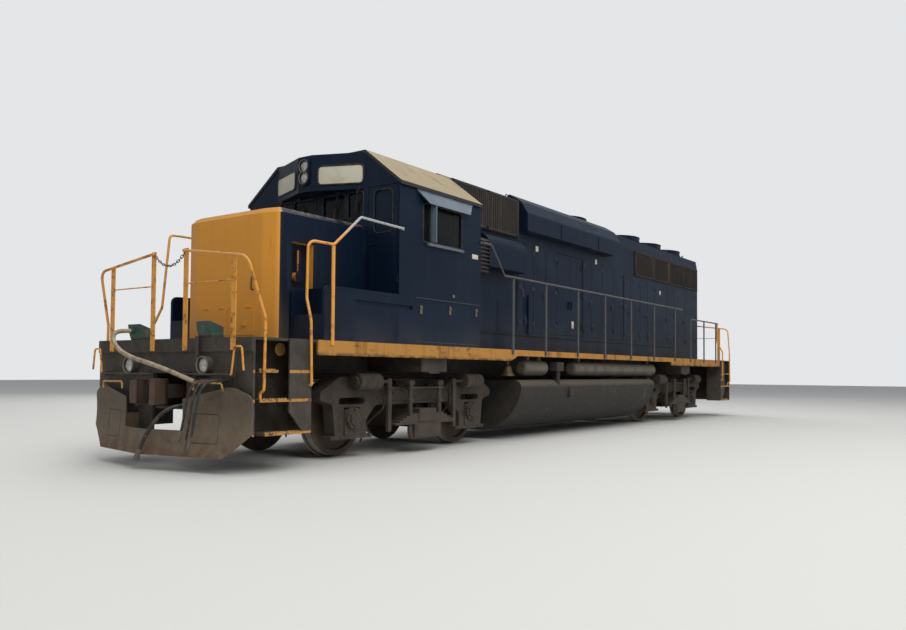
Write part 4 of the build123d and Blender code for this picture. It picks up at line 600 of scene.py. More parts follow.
class LOCO_OT_stage(bpy.types.Operator):
    """Floor, soft lights and the camera at the viewpoint of the photograph"""
    bl_idname = "loco.stage"
    bl_label = "Set the stage"

    def camera(self, context):
        yaw, pitch, roll = (math.radians(angle) for angle in CAMERA_TURN)
        look = Vector((-math.cos(yaw) * math.cos(pitch), -math.sin(yaw) * math.cos(pitch), math.sin(pitch)))
        right = look.cross(Vector((0, 0, 1))).normalized()
        up = right.cross(look)
        turned_right = right * math.cos(roll) + up * math.sin(roll)
        turned_up = up * math.cos(roll) - right * math.sin(roll)
        data = bpy.data.cameras.new("view")
        data.sensor_width = 36.0
        data.lens = 32.15
        data.shift_x = -0.0128
        data.shift_y = 0.0322
        data.clip_end = 400.0
        camera = bpy.data.objects.new("view", data)
        context.collection.objects.link(camera)
        turn = Matrix((turned_right, turned_up, -look)).transposed().to_4x4()
        camera.matrix_world = Matrix.Translation(CAMERA_PLACE) @ turn
        context.scene.camera = camera

    def light(self, context, name, place, height, size, power):
        data = bpy.data.lights.new(name, "AREA")
        data.shape = "DISK"
        data.size = size
        data.energy = power
        lamp = bpy.data.objects.new(name, data)
        context.collection.objects.link(lamp)
        lamp.location = place
        lamp.rotation_euler = (Vector((0, 0, height)) - Vector(place)).to_track_quat("-Z", "Y").to_euler()

    def floor(self, context):
        bpy.ops.object.select_all(action="DESELECT")
        bpy.ops.mesh.primitive_plane_add(size=context.scene.loco_sizes.floor, location=(0, 0, 0))
        floor = context.object
        floor.name = "floor"
        material = bpy.data.materials.new("pale_floor")
        material.use_nodes = True
        feed(material.node_tree, material.node_tree.nodes["Principled BSDF"],
             {"Base Color": (*tone(214, 212, 206), 1.0), "Roughness": 0.95, "Specular IOR Level": 0.1})
        floor.data.materials.append(material)

    def sky(self, context):
        """A pale sky, seen brighter by the camera than it shines."""
        world = context.scene.world or bpy.data.worlds.new("sky")
        context.scene.world = world
        world.use_nodes = True
        tree = world.node_tree
        tree.nodes.clear()
        shining, seen = (
            add_node(tree, "ShaderNodeBackground", {"Color": (*tone(*color), 1.0), "Strength": power})
            for color, power in (((226, 232, 240), 0.5), ((228, 230, 232), 1.0)))
        rays = add_node(tree, "ShaderNodeLightPath")
        mix = add_node(tree, "ShaderNodeMixShader", {
            0: rays.outputs["Is Camera Ray"], 1: shining.outputs[0], 2: seen.outputs[0]})
        add_node(tree, "ShaderNodeOutputWorld", {0: mix.outputs[0]})

    def execute(self, context):
        self.camera(context)
        for row in SKY_LIGHTS:
            self.light(context, *row)
        self.floor(context)
        self.sky(context)
        context.scene.view_settings.view_transform = "Standard"
        return {"FINISHED"}


# Modelling helpers: each piece starts from a primitive or curve, is shaped, and ends at the origin
def only(*pieces):
    bpy.ops.object.select_all(action="DESELECT")
    for piece in pieces:
        piece.select_set(True)
    bpy.context.view_layer.objects.active = pieces[0]


def apply_place():
    bpy.ops.object.transform_apply(location=True, rotation=True, scale=True)


def modify(piece, kind, **settings):
    """Add a modifier and apply it."""
    only(piece)
    modifier = piece.modifiers.new(kind.lower(), kind)
    for key, value in settings.items():
        setattr(modifier, key, value)
    bpy.ops.object.modifier_apply(modifier=modifier.name)
    return piece


def primitive(add, **settings):
    """A primitive, made by one of Blender's add operators, with its place applied."""
    bpy.ops.object.select_all(action="DESELECT")
    add(**settings)
    apply_place()
    return bpy.context.object


def slab(low, high, edge=0.0):
    """A block between two corners with eased edges."""
    low, high = Vector(low), Vector(high)
    piece = primitive(bpy.ops.mesh.primitive_cube_add, size=1, location=(low + high) / 2,
                      scale=[abs(size) for size in high - low])
    if edge:
        modify(piece, "BEVEL", width=edge, segments=2, limit_method="ANGLE")
    return piece


def rod(start, end, diameter, sides=16, edge=0.0):
    """A round bar between two points, its rims eased."""
    start, end = Vector(start), Vector(end)
    run = end - start
    piece = primitive(bpy.ops.mesh.primitive_cylinder_add, vertices=sides, radius=diameter / 2,
                      depth=run.length, location=(start + end) / 2,
                      rotation=run.to_track_quat("Z", "Y").to_euler())
    if edge:
        modify(piece, "BEVEL", width=edge, segments=2, limit_method="ANGLE", angle_limit=math.radians(50))
    return piece


def ring(place, axis, radius, thickness, sides=32, width=8):
    """A round ring whose hole looks along an axis."""
    return primitive(bpy.ops.mesh.primitive_torus_add, location=place,
                     rotation=Vector(axis).to_track_quat("Z", "Y").to_euler(), major_radius=radius,
                     minor_radius=thickness, major_segments=sides, minor_segments=width)


def round_curve(name, kind, points, diameter, bevel, closed=False):
    """A curve object with a round section along points."""
    data = bpy.data.curves.new(name, "CURVE")
    data.dimensions = "3D"
    data.bevel_depth = diameter / 2
    data.bevel_resolution = bevel
    data.use_fill_caps = not closed
    spline = data.splines.new(kind)
    spline.points.add(len(points) - 1)
    spline.use_cyclic_u = closed
    for point, place in zip(spline.points, points):
        point.co = (*place, 1.0)
    line = bpy.data.objects.new(name, data)
    bpy.context.collection.objects.link(line)
    return line


def bend(before, here, after, corner, parts):
    """Points of an arc that rounds a corner."""
    before, here, after = Vector(before), Vector(here), Vector(after)
    back, on = before - here, after - here
    reach = min(corner, back.length * 0.45, on.length * 0.45)
    first, last = here + back.normalized() * reach, here + on.normalized() * reach
    shares = [part / parts for part in range(parts + 1)]
    return [first * (1 - share) ** 2 + here * 2 * share * (1 - share) + last * share ** 2 for share in shares]


def meshed(line):
    only(line)
    bpy.ops.object.convert(target="MESH")
    return bpy.context.object


def bent_bar(points, diameter, corner=0.03):
    """A round bar along points, bent to an arc at each corner."""
    route = [Vector(points[0])]
    for before, here, after in zip(points, points[1:], points[2:]):
        route += bend(before, here, after, corner, 4)
    route.append(Vector(points[-1]))
    return meshed(round_curve("bar", "POLY", route, diameter, 3))


def window_seal(low, high, place, axis, radius, thick=0.012):
    """A rubber round an opening in an upright wall: low and high across and in height."""
    corners = [low, (high[0], low[1]), high, (low[0], high[1])]
    route = []
    for index, corner in enumerate(corners):
        route += bend(corners[index - 1], corner, corners[(index + 1) % 4], radius, 5)
    route = [(across, place, z) if axis == "y" else (place, across, z) for across, z in route]
    return meshed(round_curve("rubber", "POLY", route, 2 * thick, 2, closed=True))


def joined(pieces):
    only(*pieces)
    if len(pieces) > 1:
        bpy.ops.object.join()
    apply_place()
    return bpy.context.object


def copied(piece, placing):
    """A copy of a piece with its own mesh at a placing."""
    copy = piece.copy()
    copy.data = piece.data.copy()
    bpy.context.collection.objects.link(copy)
    copy.matrix_world = placing
    return copy


def set_out(pattern, placings):
    """Copies of a pattern at placings, joined to one piece; the pattern goes."""
    copies = [copied(pattern, placing) for placing in placings]
    bpy.data.objects.remove(pattern)
    bpy.context.view_layer.update()
    return joined(copies)


def at(x, y, z, turn=0.0, tilt=0.0, scale=1.0):
    """A placing: tilted about X, turned about Z, then moved."""
    return (Matrix.Translation((x, y, z)) @ Matrix.Rotation(math.radians(turn), 4, "Z")
            @ Matrix.Rotation(math.radians(tilt), 4, "X") @ Matrix.Scale(scale, 4))


def facing_out(side):
    """A placing turn for a pattern that is modelled facing +Y."""
    return 0.0 if side > 0 else 180.0


def mirrored(piece):
    """A copy of a piece on the other side of the locomotive, faces outward."""
    copy = copied(piece, Matrix.Diagonal((1, -1, 1, 1)) @ piece.matrix_world)
    only(copy)
    apply_place()
    bpy.ops.object.mode_set(mode="EDIT")
    bpy.ops.mesh.select_all(action="SELECT")
    bpy.ops.mesh.normals_make_consistent(inside=False)
    bpy.ops.object.mode_set(mode="OBJECT")
    return copy


def settle(piece, name, finish, body="body", angle=35):
    """Join a list of pieces, name and shade the result, paint it and let it ride on its body."""
    if isinstance(piece, list):
        piece = joined(piece)
    piece.name = name
    piece.data.name = name
    piece.data.materials.clear()
    piece.data.materials.append(finish_of(finish))
    only(piece)
    bpy.ops.object.shade_smooth_by_angle(angle=math.radians(angle))
    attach(piece, body)
    return piece


# Hoses and the jumper cable, on the same points as their solids
JUMPER = [
    (8.65, -0.7, 1.64), (8.8, -0.7, 1.64), (8.915, -0.65, 1.575), (8.96, -0.54, 1.47), (8.965, -0.39, 1.375),
    (8.95, -0.2, 1.305), (8.925, 0, 1.258), (8.885, 0.19, 1.208), (8.82, 0.37, 1.145), (8.745, 0.51, 1.08),
    (8.67, 0.62, 1.025)]
BRAKE_HOSE = [
    (8.65, 0.48, 0.748), (8.79, 0.48, 0.748), (8.915, 0.435, 0.695), (8.985, 0.35, 0.585),
    (9.005, 0.24, 0.445), (9.008, 0.14, 0.315), (9.005, 0.075, 0.21)]
CONTROL_DROP = [
    (0, 0, 0), (0.1, 0, 0), (0.185, 0.025, 0.085), (0.205, 0.06, 0.23), (0.195, 0.11, 0.41),
    (0.18, 0.17, 0.59), (0.172, 0.215, 0.7)]
CONTROL_HOSES = [(0.93, 0.86), (1.02, 1.0), (1.11, 0.95)]  # y of the pipe, share of the drop


def curve_length(line):
    bare = line.data.copy()
    bare.bevel_depth = 0.0
    probe = bpy.data.objects.new("probe", bare)
    mesh = bpy.data.meshes.new_from_object(probe)
    ends = [[mesh.vertices[index].co for index in edge.vertices] for edge in mesh.edges]
    total = sum((start - end).length for start, end in ends)
    bpy.data.meshes.remove(mesh)
    bpy.data.objects.remove(probe)
    bpy.data.curves.remove(bare)
    return total


class LOCO_OT_hoses(bpy.types.Operator):
    """Jumper cable, brake hose and control hoses at the nose end"""
    bl_idname = "loco.hoses"
    bl_label = "Hang the hoses"

    def hose_line(self, name, points, diameter, finish):
        line = round_curve(name, "NURBS", points, diameter, 6)
        line.data.resolution_u = 10
        line.data.splines[0].order_u = 3
        line.data.splines[0].use_endpoint_u = True
        line.data.materials.append(finish_of(finish))
        return line

    def coupling(self, points, diameter):
        """The sleeve, its bands and the coupling head on the end of a hose."""
        end = Vector(points[-1])
        run = (end - Vector(points[-2])).normalized()
        radius = diameter / 2 + 0.004
        parts = [rod((0, 0, -0.05), (0, 0, 0.05), 2 * radius, 20, 0.002),
                 rod((0, 0, 0.035), (0, 0, 0.055), 2.5 * radius, 6, 0.002),
                 slab((-1.3 * radius, -0.7 * radius, 0.047), (1.3 * radius, 0.7 * radius, 0.105),
                      0.3 * radius),
                 rod((0.55 * radius, -0.75 * radius, 0.078), (0.55 * radius, 0.75 * radius, 0.078),
                     1.3 * radius, 20, 0.002)]
        parts += [ring((0, 0, z), (0, 0, 1), radius, 0.003, 24, 6) for z in (-0.04, -0.022, 0.018)]
        piece = joined(parts)
        piece.matrix_world = Matrix.Translation(end) @ run.to_track_quat("Z", "Y").to_matrix().to_4x4()
        return joined([piece])

    def execute(self, context):
        size = context.scene.loco_sizes
        rows = [("jumper", "jumper_cable", JUMPER, size.jumper, "cable_jacket", "object"),
                ("brake_hose", "front_brake_hose", BRAKE_HOSE, size.brake_hose, "hose_rubber", "fitting")]
        for number, (y, reach) in enumerate(CONTROL_HOSES, 1):
            points = [(8.74 + forward, y - inward, 1.04 - drop * reach)
                      for forward, inward, drop in CONTROL_DROP]
            rows.append((f"air_hose_{number}", f"control_hose_{number}", points, size.control_hose,
                         "hose_rubber", "fitting"))
        for name, node, points, diameter, finish, far_end in rows:
            if far_end == "fitting":
                head = settle(self.coupling(points, diameter), f"{name}_coupling", "fitting_steel")
                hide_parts("hose_couplings")
            line = self.hose_line(name, points, diameter, finish)
            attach(line, "body")
            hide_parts(node)
            "cable_cream" if name == "jumper" else "hose_rubber"
            curve_length(line)
        return {"FINISHED"}


# Long hood: hinges and latches of its doors, and what stands on its roof
DOOR_BANDS = [  # edges between the doors from front to back, hinge heights, latch height
    ([1.97, 1.78, 1.45, 0.971, 0.53], (2.06, 2.72, 3.38), 2.62),
    ([-0.59, -1.013, -1.513, -2.075, -2.56], (2.06, 2.72, 3.38), 2.62),
    ([-2.67, -3.038, -3.596, -4.044, -4.51], (2.06, 2.66, 3.26), 2.55),
    ([-4.51, -5.344, -5.81, -6.625, -7.55], (2.06, 2.66, 3.26), 2.55),
]
LIFTING_EYES = (  # x, y
    (1.9, 0.6), (0.4, 0.6), (-2.35, 0.6), (-2.75, 0.56), (-4.78, 0.56), (-6.18, 0.56), (-7.4, 0.56))
HARDWARE_Y = HOOD_Y + 0.0082  # just inside the face of the doors


class LOCO_OT_hood_hardware(bpy.types.Operator):
    """Hinges, latches and roof fastenings of the long hood"""
    bl_idname = "loco.hood_hardware"
    bl_label = "Hang the hood doors"

    def hinge(self, size):
        barrel = rod((0, 0.011, -size.hinge / 2), (0, 0.011, size.hinge / 2), 0.02, 10, 0.002)
        leaf = slab((-0.045, 0.0, -size.hinge * 0.42), (0.045, 0.006, size.hinge * 0.42), 0.002)
        return joined([barrel, leaf])

    def latch(self, size):
        plate = slab((-0.03, 0.0, -size.latch / 2), (0.03, 0.006, size.latch / 2), 0.003)
        boss = rod((0, 0.0, 0), (0, 0.026, 0), 0.034, 14, 0.003)
        grip = bent_bar([(0, 0.022, 0.01), (0, 0.03, -0.03), (0, 0.03, -0.085)], 0.014, 0.012)
        return joined([plate, boss, grip])

    def eye(self):
        loop = bent_bar([(-0.05, 0, -0.025), (-0.05, 0, 0.045), (0.05, 0, 0.045), (0.05, 0, -0.025)],
                        0.018, 0.04)
        return joined([loop, slab((-0.08, -0.03, -0.022), (0.08, 0.03, -0.014), 0.003)])

    def execute(self, context):
        size = context.scene.loco_sizes
        hinges, latches, bolts = [], [], []
        for side in SIDES:
            y, turn = side * HARDWARE_Y, facing_out(side)
            for edges, heights, middle in DOOR_BANDS:
                for index, x in enumerate(edges):
                    inward = -0.05 if index == 0 else 0.05 if index == len(edges) - 1 else 0.0
                    if index % 2 == 0:
                        hinges += [at(x + inward, y, z, turn) for z in heights]
                    else:
                        latches += [at(x + 0.045, y, middle, turn), at(x - 0.045, y, middle - 0.5, turn)]
            bolts += [at(1.86 - step * 0.19, side * 0.62, HOOD_TOP, turn, 90) for step in range(24)]
        bolts += [at(3.95 - step * 0.18, side * 0.60, HOOD_TOP, 0, 90)
                  for step in range(11) for side in SIDES]
        eyes = [at(x, side * y, HOOD_TOP + 0.02) for x, y in LIFTING_EYES for side in SIDES]
        head = rod((0, -0.002, 0), (0, 0.012, 0), size.bolt, 6, 0.002)
        for name, pattern, placings in (("hood_hinges", self.hinge(size), hinges),
                                        ("hood_latches", self.latch(size), latches),
                                        ("roof_bolts", head, bolts), ("lifting_eyes", self.eye(), eyes)):
            settle(set_out(pattern, placings), name, "hardware_paint")
        return {"FINISHED"}


# Screens of the radiator and blower intakes: upright bars in frames
BAR_PITCH = 0.034
FRAME_WIDTH = 0.03
INTAKES = (  # y of the screen, bottom and top over the rail, front and rear of each panel
    (HOOD_Y + 0.021, 3.43, 4.0, ((-3.30, -4.34), (-4.36, -5.39), (-5.41, -6.47), (-6.49, -7.565))),
    (HOOD_Y + 0.057, 3.575, 4.225, ((4.08, 3.10), (3.08, 2.09))),
)


class LOCO_OT_grille_bars(bpy.types.Operator):
    """Bars and frames of the air intakes"""
    bl_idname = "loco.grille_bars"
    bl_label = "Bar the intakes"

    def panel(self, front, rear, low, high, y, side):
        count = max(2, int((front - rear) / BAR_PITCH))
        upright = slab((-0.0035, -0.004, 0), (0.0035, 0.006, high - low - 0.04))
        pieces = [set_out(upright, [at(front - (front - rear) * (index + 0.5) / count, side * y, low + 0.02,
                                       facing_out(side)) for index in range(count)])]
        for (x0, z0), (x1, z1) in (((rear, low), (front, low + FRAME_WIDTH)),
                                   ((rear, high - FRAME_WIDTH), (front, high)),
                                   ((rear, low), (rear + FRAME_WIDTH, high)),
                                   ((front - FRAME_WIDTH, low), (front, high))):
            pieces.append(slab((x0, side * (y - 0.003), z0), (x1, side * (y + 0.008), z1), 0.002))
        return pieces

    def execute(self, context):
        pieces = []
        for side in SIDES:
            for y, low, high, spans in INTAKES:
                for front, rear in spans:
                    pieces += self.panel(front, rear, RAIL + low, RAIL + high, y, side)
        settle(pieces, "intake_bars", "grille_metal")
        return {"FINISHED"}


# Cab and nose: window rubbers, wipers, number boards, lamp rims, latches and small handles
SIDE_WINDOW = ((4.65, RAIL + 2.962), (5.587, RAIL + 3.51))
DOOR_WINDOWS = (((-1.40, RAIL + 3.04), (-1.06, RAIL + 3.64)), ((1.06, RAIL + 3.04), (1.40, RAIL + 3.64)))
WINDSHIELDS = ((0.075, 0.525), (0.565, 0.86))  # inner and outer edge
WINDSHIELD_Z = (RAIL + 3.29, RAIL + 3.66)
HATCH_LATCHES = ((5.618, 1.995), (4.93, 2.027), (4.248, 2.04))  # x, height over rail
BOARD_PLACE = (6.2362, 0.5495, RAIL + 3.905)  # middle of the left number board
BOARD_SLANT = math.degrees(math.atan2(0.77, -0.3)) - 90
REFLECTOR_X, REFLECTOR_Y, REFLECTOR_Z = 7.86, (1.1502, 1.158), RAIL + 1.385
PLATES = (  # the blank ones seen on the left: x, y, height over rail, half width, half height
    (1.314, HOOD_PANEL_Y, 3.458, 0.05, 0.05),
    (-1.208, HOOD_PANEL_Y, 3.505, 0.045, 0.05),
    (-4.848, HOOD_PANEL_Y, 3.147, 0.045, 0.05),
    (4.284, SILL_Y, 2.899, 0.08, 0.035),
)


class LOCO_OT_cab_trim(bpy.types.Operator):
    """Window rubbers, wipers, plates, latches and handles of the cab and nose"""
    bl_idname = "loco.cab_trim"
    bl_label = "Trim the cab"

    def wiper(self, x, y, z, lean):
        """A wiper hung from above a windshield: arm, blade and motor box."""
        tip = (x + 0.012, y + lean, z - 0.30)
        arm = bent_bar([(x + 0.03, y, z + 0.01), (x + 0.034, y, z - 0.05), tip], 0.012, 0.02)
        blade = slab((x + 0.006, tip[1] - 0.006, z - 0.36), (x + 0.018, tip[1] + 0.006, z - 0.14), 0.002)
        box = slab((x, y - 0.035, z - 0.01), (x + 0.035, y + 0.035, z + 0.06), 0.006)
        return [arm, blade, box]

    def windows(self):
        seals, wipers = [], []
        for side in SIDES:
            seals.append(window_seal(*SIDE_WINDOW, side * (SILL_Y + 0.002), "y", 0.06))
            for edges in WINDSHIELDS:
                left, right = sorted(side * edge for edge in edges)
                seals.append(window_seal((left, WINDSHIELD_Z[0]), (right, WINDSHIELD_Z[1]),
                                         CAB_FRONT + 0.002, "x", 0.04, 0.010))
        seals.append(window_seal(*DOOR_WINDOWS[0], CAB_FRONT + 0.002, "x", 0.1))
        seals.append(window_seal(*DOOR_WINDOWS[1], CAB_REAR - 0.002, "x", 0.1))
        settle(seals, "window_rubbers", "window_rubber")
        for end, window, x in (("front", DOOR_WINDOWS[1], CAB_FRONT + 0.001),
                               ("rear", DOOR_WINDOWS[0], CAB_REAR - 0.001)):
            settle(window_seal(*window, x, "x", 0.1, 0.009), f"{end}_door_rubber", "window_rubber",
                   f"{end}_cab_door")
        for side in SIDES:
            for y, lean in ((0.40, 0.09), (0.78, 0.05)):
                wipers += self.wiper(CAB_FRONT + 0.004, side * y, RAIL + 3.675, -side * lean)
        settle(wipers, "wipers", "window_rubber")

    def boards(self):
        """Blank cream number boards in dark frames, on the slanting faces of the box."""
        x, y, z = BOARD_PLACE
        plates, frames = [], []
        for side in SIDES:
            # a plate that faces +X, turned to the slanting face
            plate = slab((0.0, -0.335, -0.125), (0.008, 0.335, 0.125))
            modify(plate, "BEVEL", width=0.05, segments=5, limit_method="ANGLE", affect="EDGES")
            rim = window_seal((-0.345, -0.135), (0.345, 0.135), 0.004, "x", 0.07, 0.014)
            for piece, group in ((plate, plates), (rim, frames)):
                piece.matrix_world = at(x, side * y, z, side * BOARD_SLANT)
                bpy.context.view_layer.update()
                group.append(piece)
        settle(plates, "number_boards", "plate_paint")
        settle(frames, "number_board_frames", "window_rubber")

    def lamp_rims(self):
        places = [(x, 0, RAIL + z, 0.088, 0.008) for z in (4.065, 3.895) for x in (6.432, -7.692)]
        places += [(end * 8.652, side * 0.73, RAIL + 1.185, 0.1, 0.009) for end in SIDES for side in SIDES]
        settle([ring((x, y, z), (1, 0, 0), radius, thickness, 36) for x, y, z, radius, thickness in places],
               "lamp_rims", "fitting_steel")

    def side_details(self):
        """Latches of the cab's side hatch, drip strips, wind deflectors, side lights and reflectors."""
        latches, lights, oranges, panes, strips = [], [], [], [], []
        for side in SIDES:
            def across(x, z, deep):
                """A point that stands out of the cab's side by a depth."""
                return x, side * (SILL_Y + deep), RAIL + z

            for x, z in HATCH_LATCHES:
                latches.append(slab(across(x - 0.022, z - 0.06, 0), across(x + 0.022, z + 0.06, 0.012),
                                    0.004))
                latches.append(rod(across(x, z + 0.02, 0), across(x, z + 0.02, 0.03), 0.03, 14, 0.004))
            strips.append(slab(across(4.15, 2.15, 0), across(5.74, 2.166, 0.012), 0.003))
            strips.append(slab(across(4.15, 1.538, 0), across(5.735, 1.552, 0.008), 0.003))
            panes.append(slab(across(5.40, 2.965, 0.002), across(5.412, 3.50, 0.10), 0.002))
            panes.append(slab(across(5.395, 2.96, 0.095), across(5.417, 3.505, 0.108), 0.003))
            strips += [bent_bar([across(5.406, z, 0), across(5.406, z, 0.1)], 0.012) for z in (2.97, 3.49)]
            lights.append(rod(across(4.851, 2.243, -0.005), across(4.851, 2.243, 0.02), 0.05, 20, 0.004))
            back, face = ((REFLECTOR_X, side * y, REFLECTOR_Z) for y in REFLECTOR_Y)
            oranges.append(rod(back, face, 0.16, 32, 0.003))
        settle(latches + lights, "side_latches", "fitting_steel")
        settle(strips, "drip_strips", "hardware_paint")
        settle(panes, "wind_deflectors", "awning_paint")
        settle(oranges, "reflectors", "reflector_orange")

    def blank_plates(self):
        plates = [slab((x - wide, y, RAIL + z - tall), (x + wide, y + 0.003, RAIL + z + tall), 0.001)
                  for x, y, z, wide, tall in PLATES]
        settle(plates, "blank_plates", "plate_paint")
        door_plate = slab((-0.2, HOOD_Y, RAIL + 2.03), (-0.11, HOOD_Y + 0.003, RAIL + 2.17), 0.001)
        settle(door_plate, "door_plate", "plate_paint", "left_engine_door_rear")

    def nose_details(self):
        root, grip, low, high = NOSE_FRONT - 0.002, NOSE_FRONT + 0.035, RAIL + 2.15, RAIL + 2.31
        handle = bent_bar([(x, 0.49, z) for x, z in ((root, low), (grip, low), (grip, high), (root, high))],
                          0.018, 0.02)
        box = slab((7.18, -0.22, RAIL + 3.18), (7.42, 0.16, RAIL + 3.215), 0.012)
        settle([handle, box], "nose_fittings", "window_rubber")

    def execute(self, context):
        self.windows()
        self.boards()
        self.lamp_rims()
        self.side_details()
        self.blank_plates()
        self.nose_details()
        return {"FINISHED"}


# Ends: chains between the gate posts, plow bars and toothed step edges
CHAIN_HALF, CHAIN_SAG, CHAIN_TOP = 0.30, 0.15, RAIL + 2.535
TOOTH_PITCH = 0.042


class LOCO_OT_end_gear(bpy.types.Operator):
    """Chains, plow bars and step edges at the two ends"""
    bl_idname = "loco.end_gear"
    bl_label = "Fit the ends"

    def chain(self, x, size):
        """Links along a hanging line between the two gate posts."""
        link = ring((0, 0, 0), (0, 0, 1), size.chain_link * 0.27, size.chain_bar / 2, 14, 6)
        link.scale = (1.85, 1.0, 1.0)
        only(link)
        apply_place()
        widths = [CHAIN_HALF - 2 * CHAIN_HALF * index / 200 for index in range(201)]
        points = [Vector((x, y, CHAIN_TOP - CHAIN_SAG * (1 - (y / CHAIN_HALF) ** 2))) for y in widths]
        placings, walked, target = [], 0.0, 0.0
        for before, after in zip(points, points[1:]):
            walked += (after - before).length
            if walked >= target:
                along = (after - before).normalized().to_track_quat("X", "Z").to_matrix().to_4x4()
                roll = Matrix.Rotation(math.radians(45 + 90 * (len(placings) % 2)), 4, "X")
                placings.append(Matrix.Translation(before) @ along @ roll)
                target += size.chain_link * 0.78
        return set_out(link, placings)

    def tread_edge(self, x0, x1, y, z, side):
        """A yellow strip with teeth along the outer edge of a step."""
        strip = slab((x0, y, z - 0.03), (x1, y + side * 0.006, z + 0.004), 0.001)
        count = int((x1 - x0) / TOOTH_PITCH)
        tooth = slab((-0.011, -0.012, -0.004), (0.011, 0.004, 0.012), 0.002)
        teeth = set_out(tooth, [at(x0 + (index + 0.5) * (x1 - x0) / count, y, z + 0.002, facing_out(side))
                                for index in range(count)])
        return [strip, teeth]

    def execute(self, context):
        size = context.scene.loco_sizes
        settle([self.chain(PILOT + 0.03, size), self.chain(-PILOT - 0.03, size)], "gate_chains",
               "fitting_steel", angle=60)
        edges = []
        for end in SIDES:
            for side in SIDES:
                for height, rear, front in STEPS:
                    low, high = sorted((end * (rear + 0.01), end * (front - 0.01)))
                    edges += self.tread_edge(low, high, side * STEP_Y, RAIL + height, side)
        settle(edges, "step_edges", "step_edge_paint")
        bar = bent_bar([(8.74, 0.70, RAIL + 0.90), (8.74, 0.71, RAIL + 0.985), (8.715, 1.16, RAIL + 0.985),
                        (8.70, 1.17, RAIL + 0.90)], 0.022)
        settle([bar, mirrored(bar)], "plow_bars", "step_edge_paint")
        return {"FINISHED"}


# Under the frame: clamped air pipes
PIPE_Y, PIPE_Z, PIPE_RADIUS, PIPE_END = 0.465, RAIL + 1.055, 0.034, 7.3
PIPE_CLAMPS, CLAMP_END = 14, 7.0


class LOCO_OT_frame_pipes(bpy.types.Operator):
    """Air pipes clamped under the centre sill"""
    bl_idname = "loco.frame_pipes"
    bl_label = "Pipe the frame"

    def execute(self, context):
        pieces = []
        for side in SIDES:
            y = side * PIPE_Y
            pieces.append(rod((-PIPE_END, y, PIPE_Z), (PIPE_END, y, PIPE_Z), 2 * PIPE_RADIUS, 20, 0.004))
            for step in range(PIPE_CLAMPS):
                x = -CLAMP_END + step * 2 * CLAMP_END / (PIPE_CLAMPS - 1)
                pieces.append(slab((x - 0.025, side * 0.36, RAIL + 1.084),
                                   (x + 0.025, side * 0.51, RAIL + 1.0905), 0.002))
                pieces.append(ring((x, y, PIPE_Z), (1, 0, 0), PIPE_RADIUS + 0.003, 0.005, 20, 6))
        settle(pieces, "frame_pipes", "truck_metal")
        return {"FINISHED"}


# Trucks: cover bolts, brake cylinder bands, brackets, rods and sand pipes
COVER_Y, CAP_Y, PEDESTAL_Y, SIDE_FRAME_Y = 1.169, 1.1895, 1.119, 1.1095  # faces that carry bolts
COVER_BOLT_CIRCLE = 0.118
CAP_BOLTS = ((-0.055, 0.0), (0.055, 0.0), (0.0, 0.055), (0.0, -0.055))
PEDESTAL_BOLTS = (-0.33, -0.22, 0.22, 0.33)
FRAME_BOLTS = ((0.52, 0.72), (0.52, 0.83), (0.86, 0.78))  # from the truck's middle, height over rail
SAND_PIPE = ((0.62, 1.15, 0.9), (0.60, 1.15, 0.62), (0.585, 0.86, 0.42), (0.56, 0.75, 0.13))
BRAKE_ROD = (0.34, 1.30, RAIL + 0.90)  # half length, y and height
BRAKE_CYLINDER = (1.22, 1.232, RAIL + 0.99)  # its middle, from the truck's middle
CYLINDER_BANDS = (-0.2, -0.1, 0.0, 0.1, 0.2)


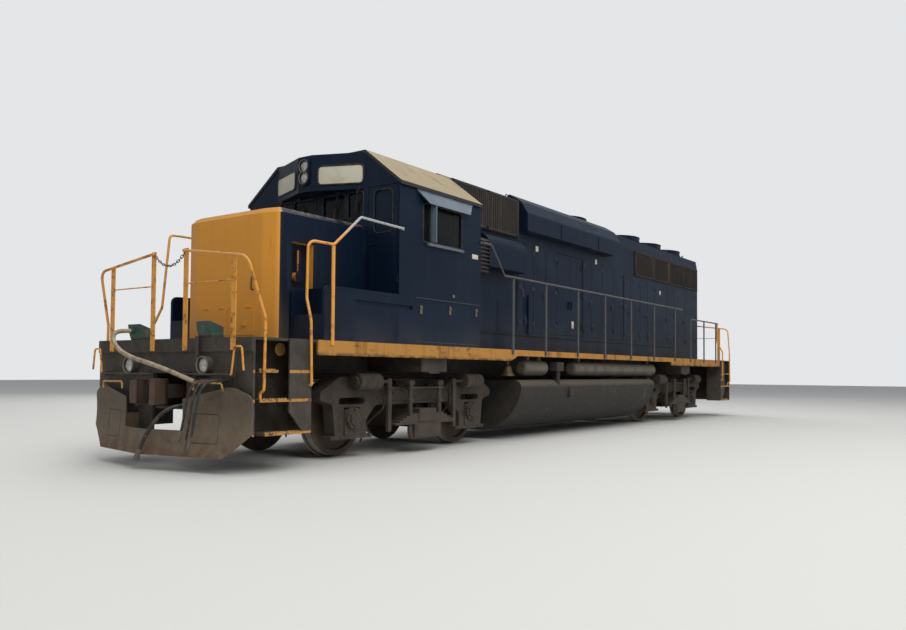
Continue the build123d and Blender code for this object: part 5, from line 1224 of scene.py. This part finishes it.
class LOCO_OT_truck_gear(bpy.types.Operator):
    """Bolts, rods and pipes of the two trucks"""
    bl_idname = "loco.truck_gear"
    bl_label = "Fit the trucks"

    def journal(self, axle, side, turn):
        """Placings of the bolts round one journal box."""
        bolts = []
        for angle in range(30, 390, 60):
            x = axle + COVER_BOLT_CIRCLE * math.cos(math.radians(angle))
            z = AXLE_Z + COVER_BOLT_CIRCLE * math.sin(math.radians(angle))
            bolts.append(at(x, side * COVER_Y, z, turn))
        bolts += [at(axle + dx, side * CAP_Y, AXLE_Z + dz, turn, 0, 0.7) for dx, dz in CAP_BOLTS]
        bolts += [at(axle + dx, side * PEDESTAL_Y, RAIL + 0.26, turn, 0, 0.9) for dx in PEDESTAL_BOLTS]
        return bolts

    def execute(self, context):
        half, rod_y, rod_z = BRAKE_ROD
        cylinder_x, cylinder_y, cylinder_z = BRAKE_CYLINDER
        for end, centre in zip(("front", "rear"), TRUCKS):
            bolts, pieces = [], []
            for side in SIDES:
                turn = facing_out(side)
                for axle in (centre + HALF_WHEELBASE, centre - HALF_WHEELBASE):
                    bolts += self.journal(axle, side, turn)
                    inward = 1 if axle < centre else -1
                    route = [(axle + inward * dx, side * y, RAIL + z) for dx, y, z in SAND_PIPE]
                    pieces.append(bent_bar(route, 0.03, 0.06))
                for way in SIDES:
                    for step in CYLINDER_BANDS:
                        pieces.append(ring((centre + way * cylinder_x + step, side * cylinder_y, cylinder_z),
                                           (1, 0, 0), 0.1155, 0.005, 28, 6))
                    post = centre + way * half
                    for z in (RAIL + 0.72, rod_z):
                        pieces.append(slab((post - 0.05, side * 1.215, z - 0.022),
                                           (post + 0.05, side * 1.309, z + 0.022), 0.006))
                    bolts += [at(centre + way * dx, side * SIDE_FRAME_Y, RAIL + dz, turn, 0, 1.2)
                              for dx, dz in FRAME_BOLTS]
                pieces.append(rod((centre - half, side * rod_y, rod_z), (centre + half, side * rod_y, rod_z),
                                  0.02, 12))
            head = rod((0, -0.004, 0), (0, 0.016, 0), context.scene.loco_sizes.bolt, 6, 0.002)
            settle(set_out(head, bolts), f"{end}_truck_bolts", "truck_metal", f"{end}_truck")
            settle(pieces, f"{end}_sand_pipes", "truck_metal", f"{end}_truck")
        return {"FINISHED"}


OPERATORS = [LOCO_OT_stage, LOCO_OT_hoses, LOCO_OT_paint, LOCO_OT_hood_hardware, LOCO_OT_grille_bars,
             LOCO_OT_cab_trim, LOCO_OT_end_gear, LOCO_OT_frame_pipes, LOCO_OT_truck_gear]


class LOCO_PT_sidebar(bpy.types.Panel):
    """The locomotive's steps, in order"""
    bl_idname = "LOCO_PT_sidebar"
    bl_label = "Locomotive"
    bl_space_type = "VIEW_3D"
    bl_region_type = "UI"
    bl_category = "Locomotive"

    def draw(self, context):
        for group in (context.scene.loco_paint, context.scene.loco_sizes):
            for name in group.bl_rna.properties.keys():
                if name not in ("rna_type", "name"):
                    self.layout.prop(group, name)
        for operator in OPERATORS:
            self.layout.operator(operator.bl_idname)


CLASSES = [LocoPaint, LocoSizes, *OPERATORS, LOCO_PT_sidebar]


def register():
    for kind in CLASSES:
        bpy.utils.register_class(kind)
    bpy.types.Scene.loco_paint = PointerProperty(type=LocoPaint)
    bpy.types.Scene.loco_sizes = PointerProperty(type=LocoSizes)


def unregister():
    del bpy.types.Scene.loco_sizes
    del bpy.types.Scene.loco_paint
    for kind in reversed(CLASSES):
        bpy.utils.unregister_class(kind)


def run(operator):
    """Call an operator by its name through bpy.ops."""
    group, name = operator.bl_idname.split(".")
    if getattr(getattr(bpy.ops, group), name)() != {"FINISHED"}:
        raise RuntimeError(f"{operator.bl_label} did not finish")


def main():
    register()
    for operator in OPERATORS:
        run(operator)


if __name__ == "__main__":
    main()
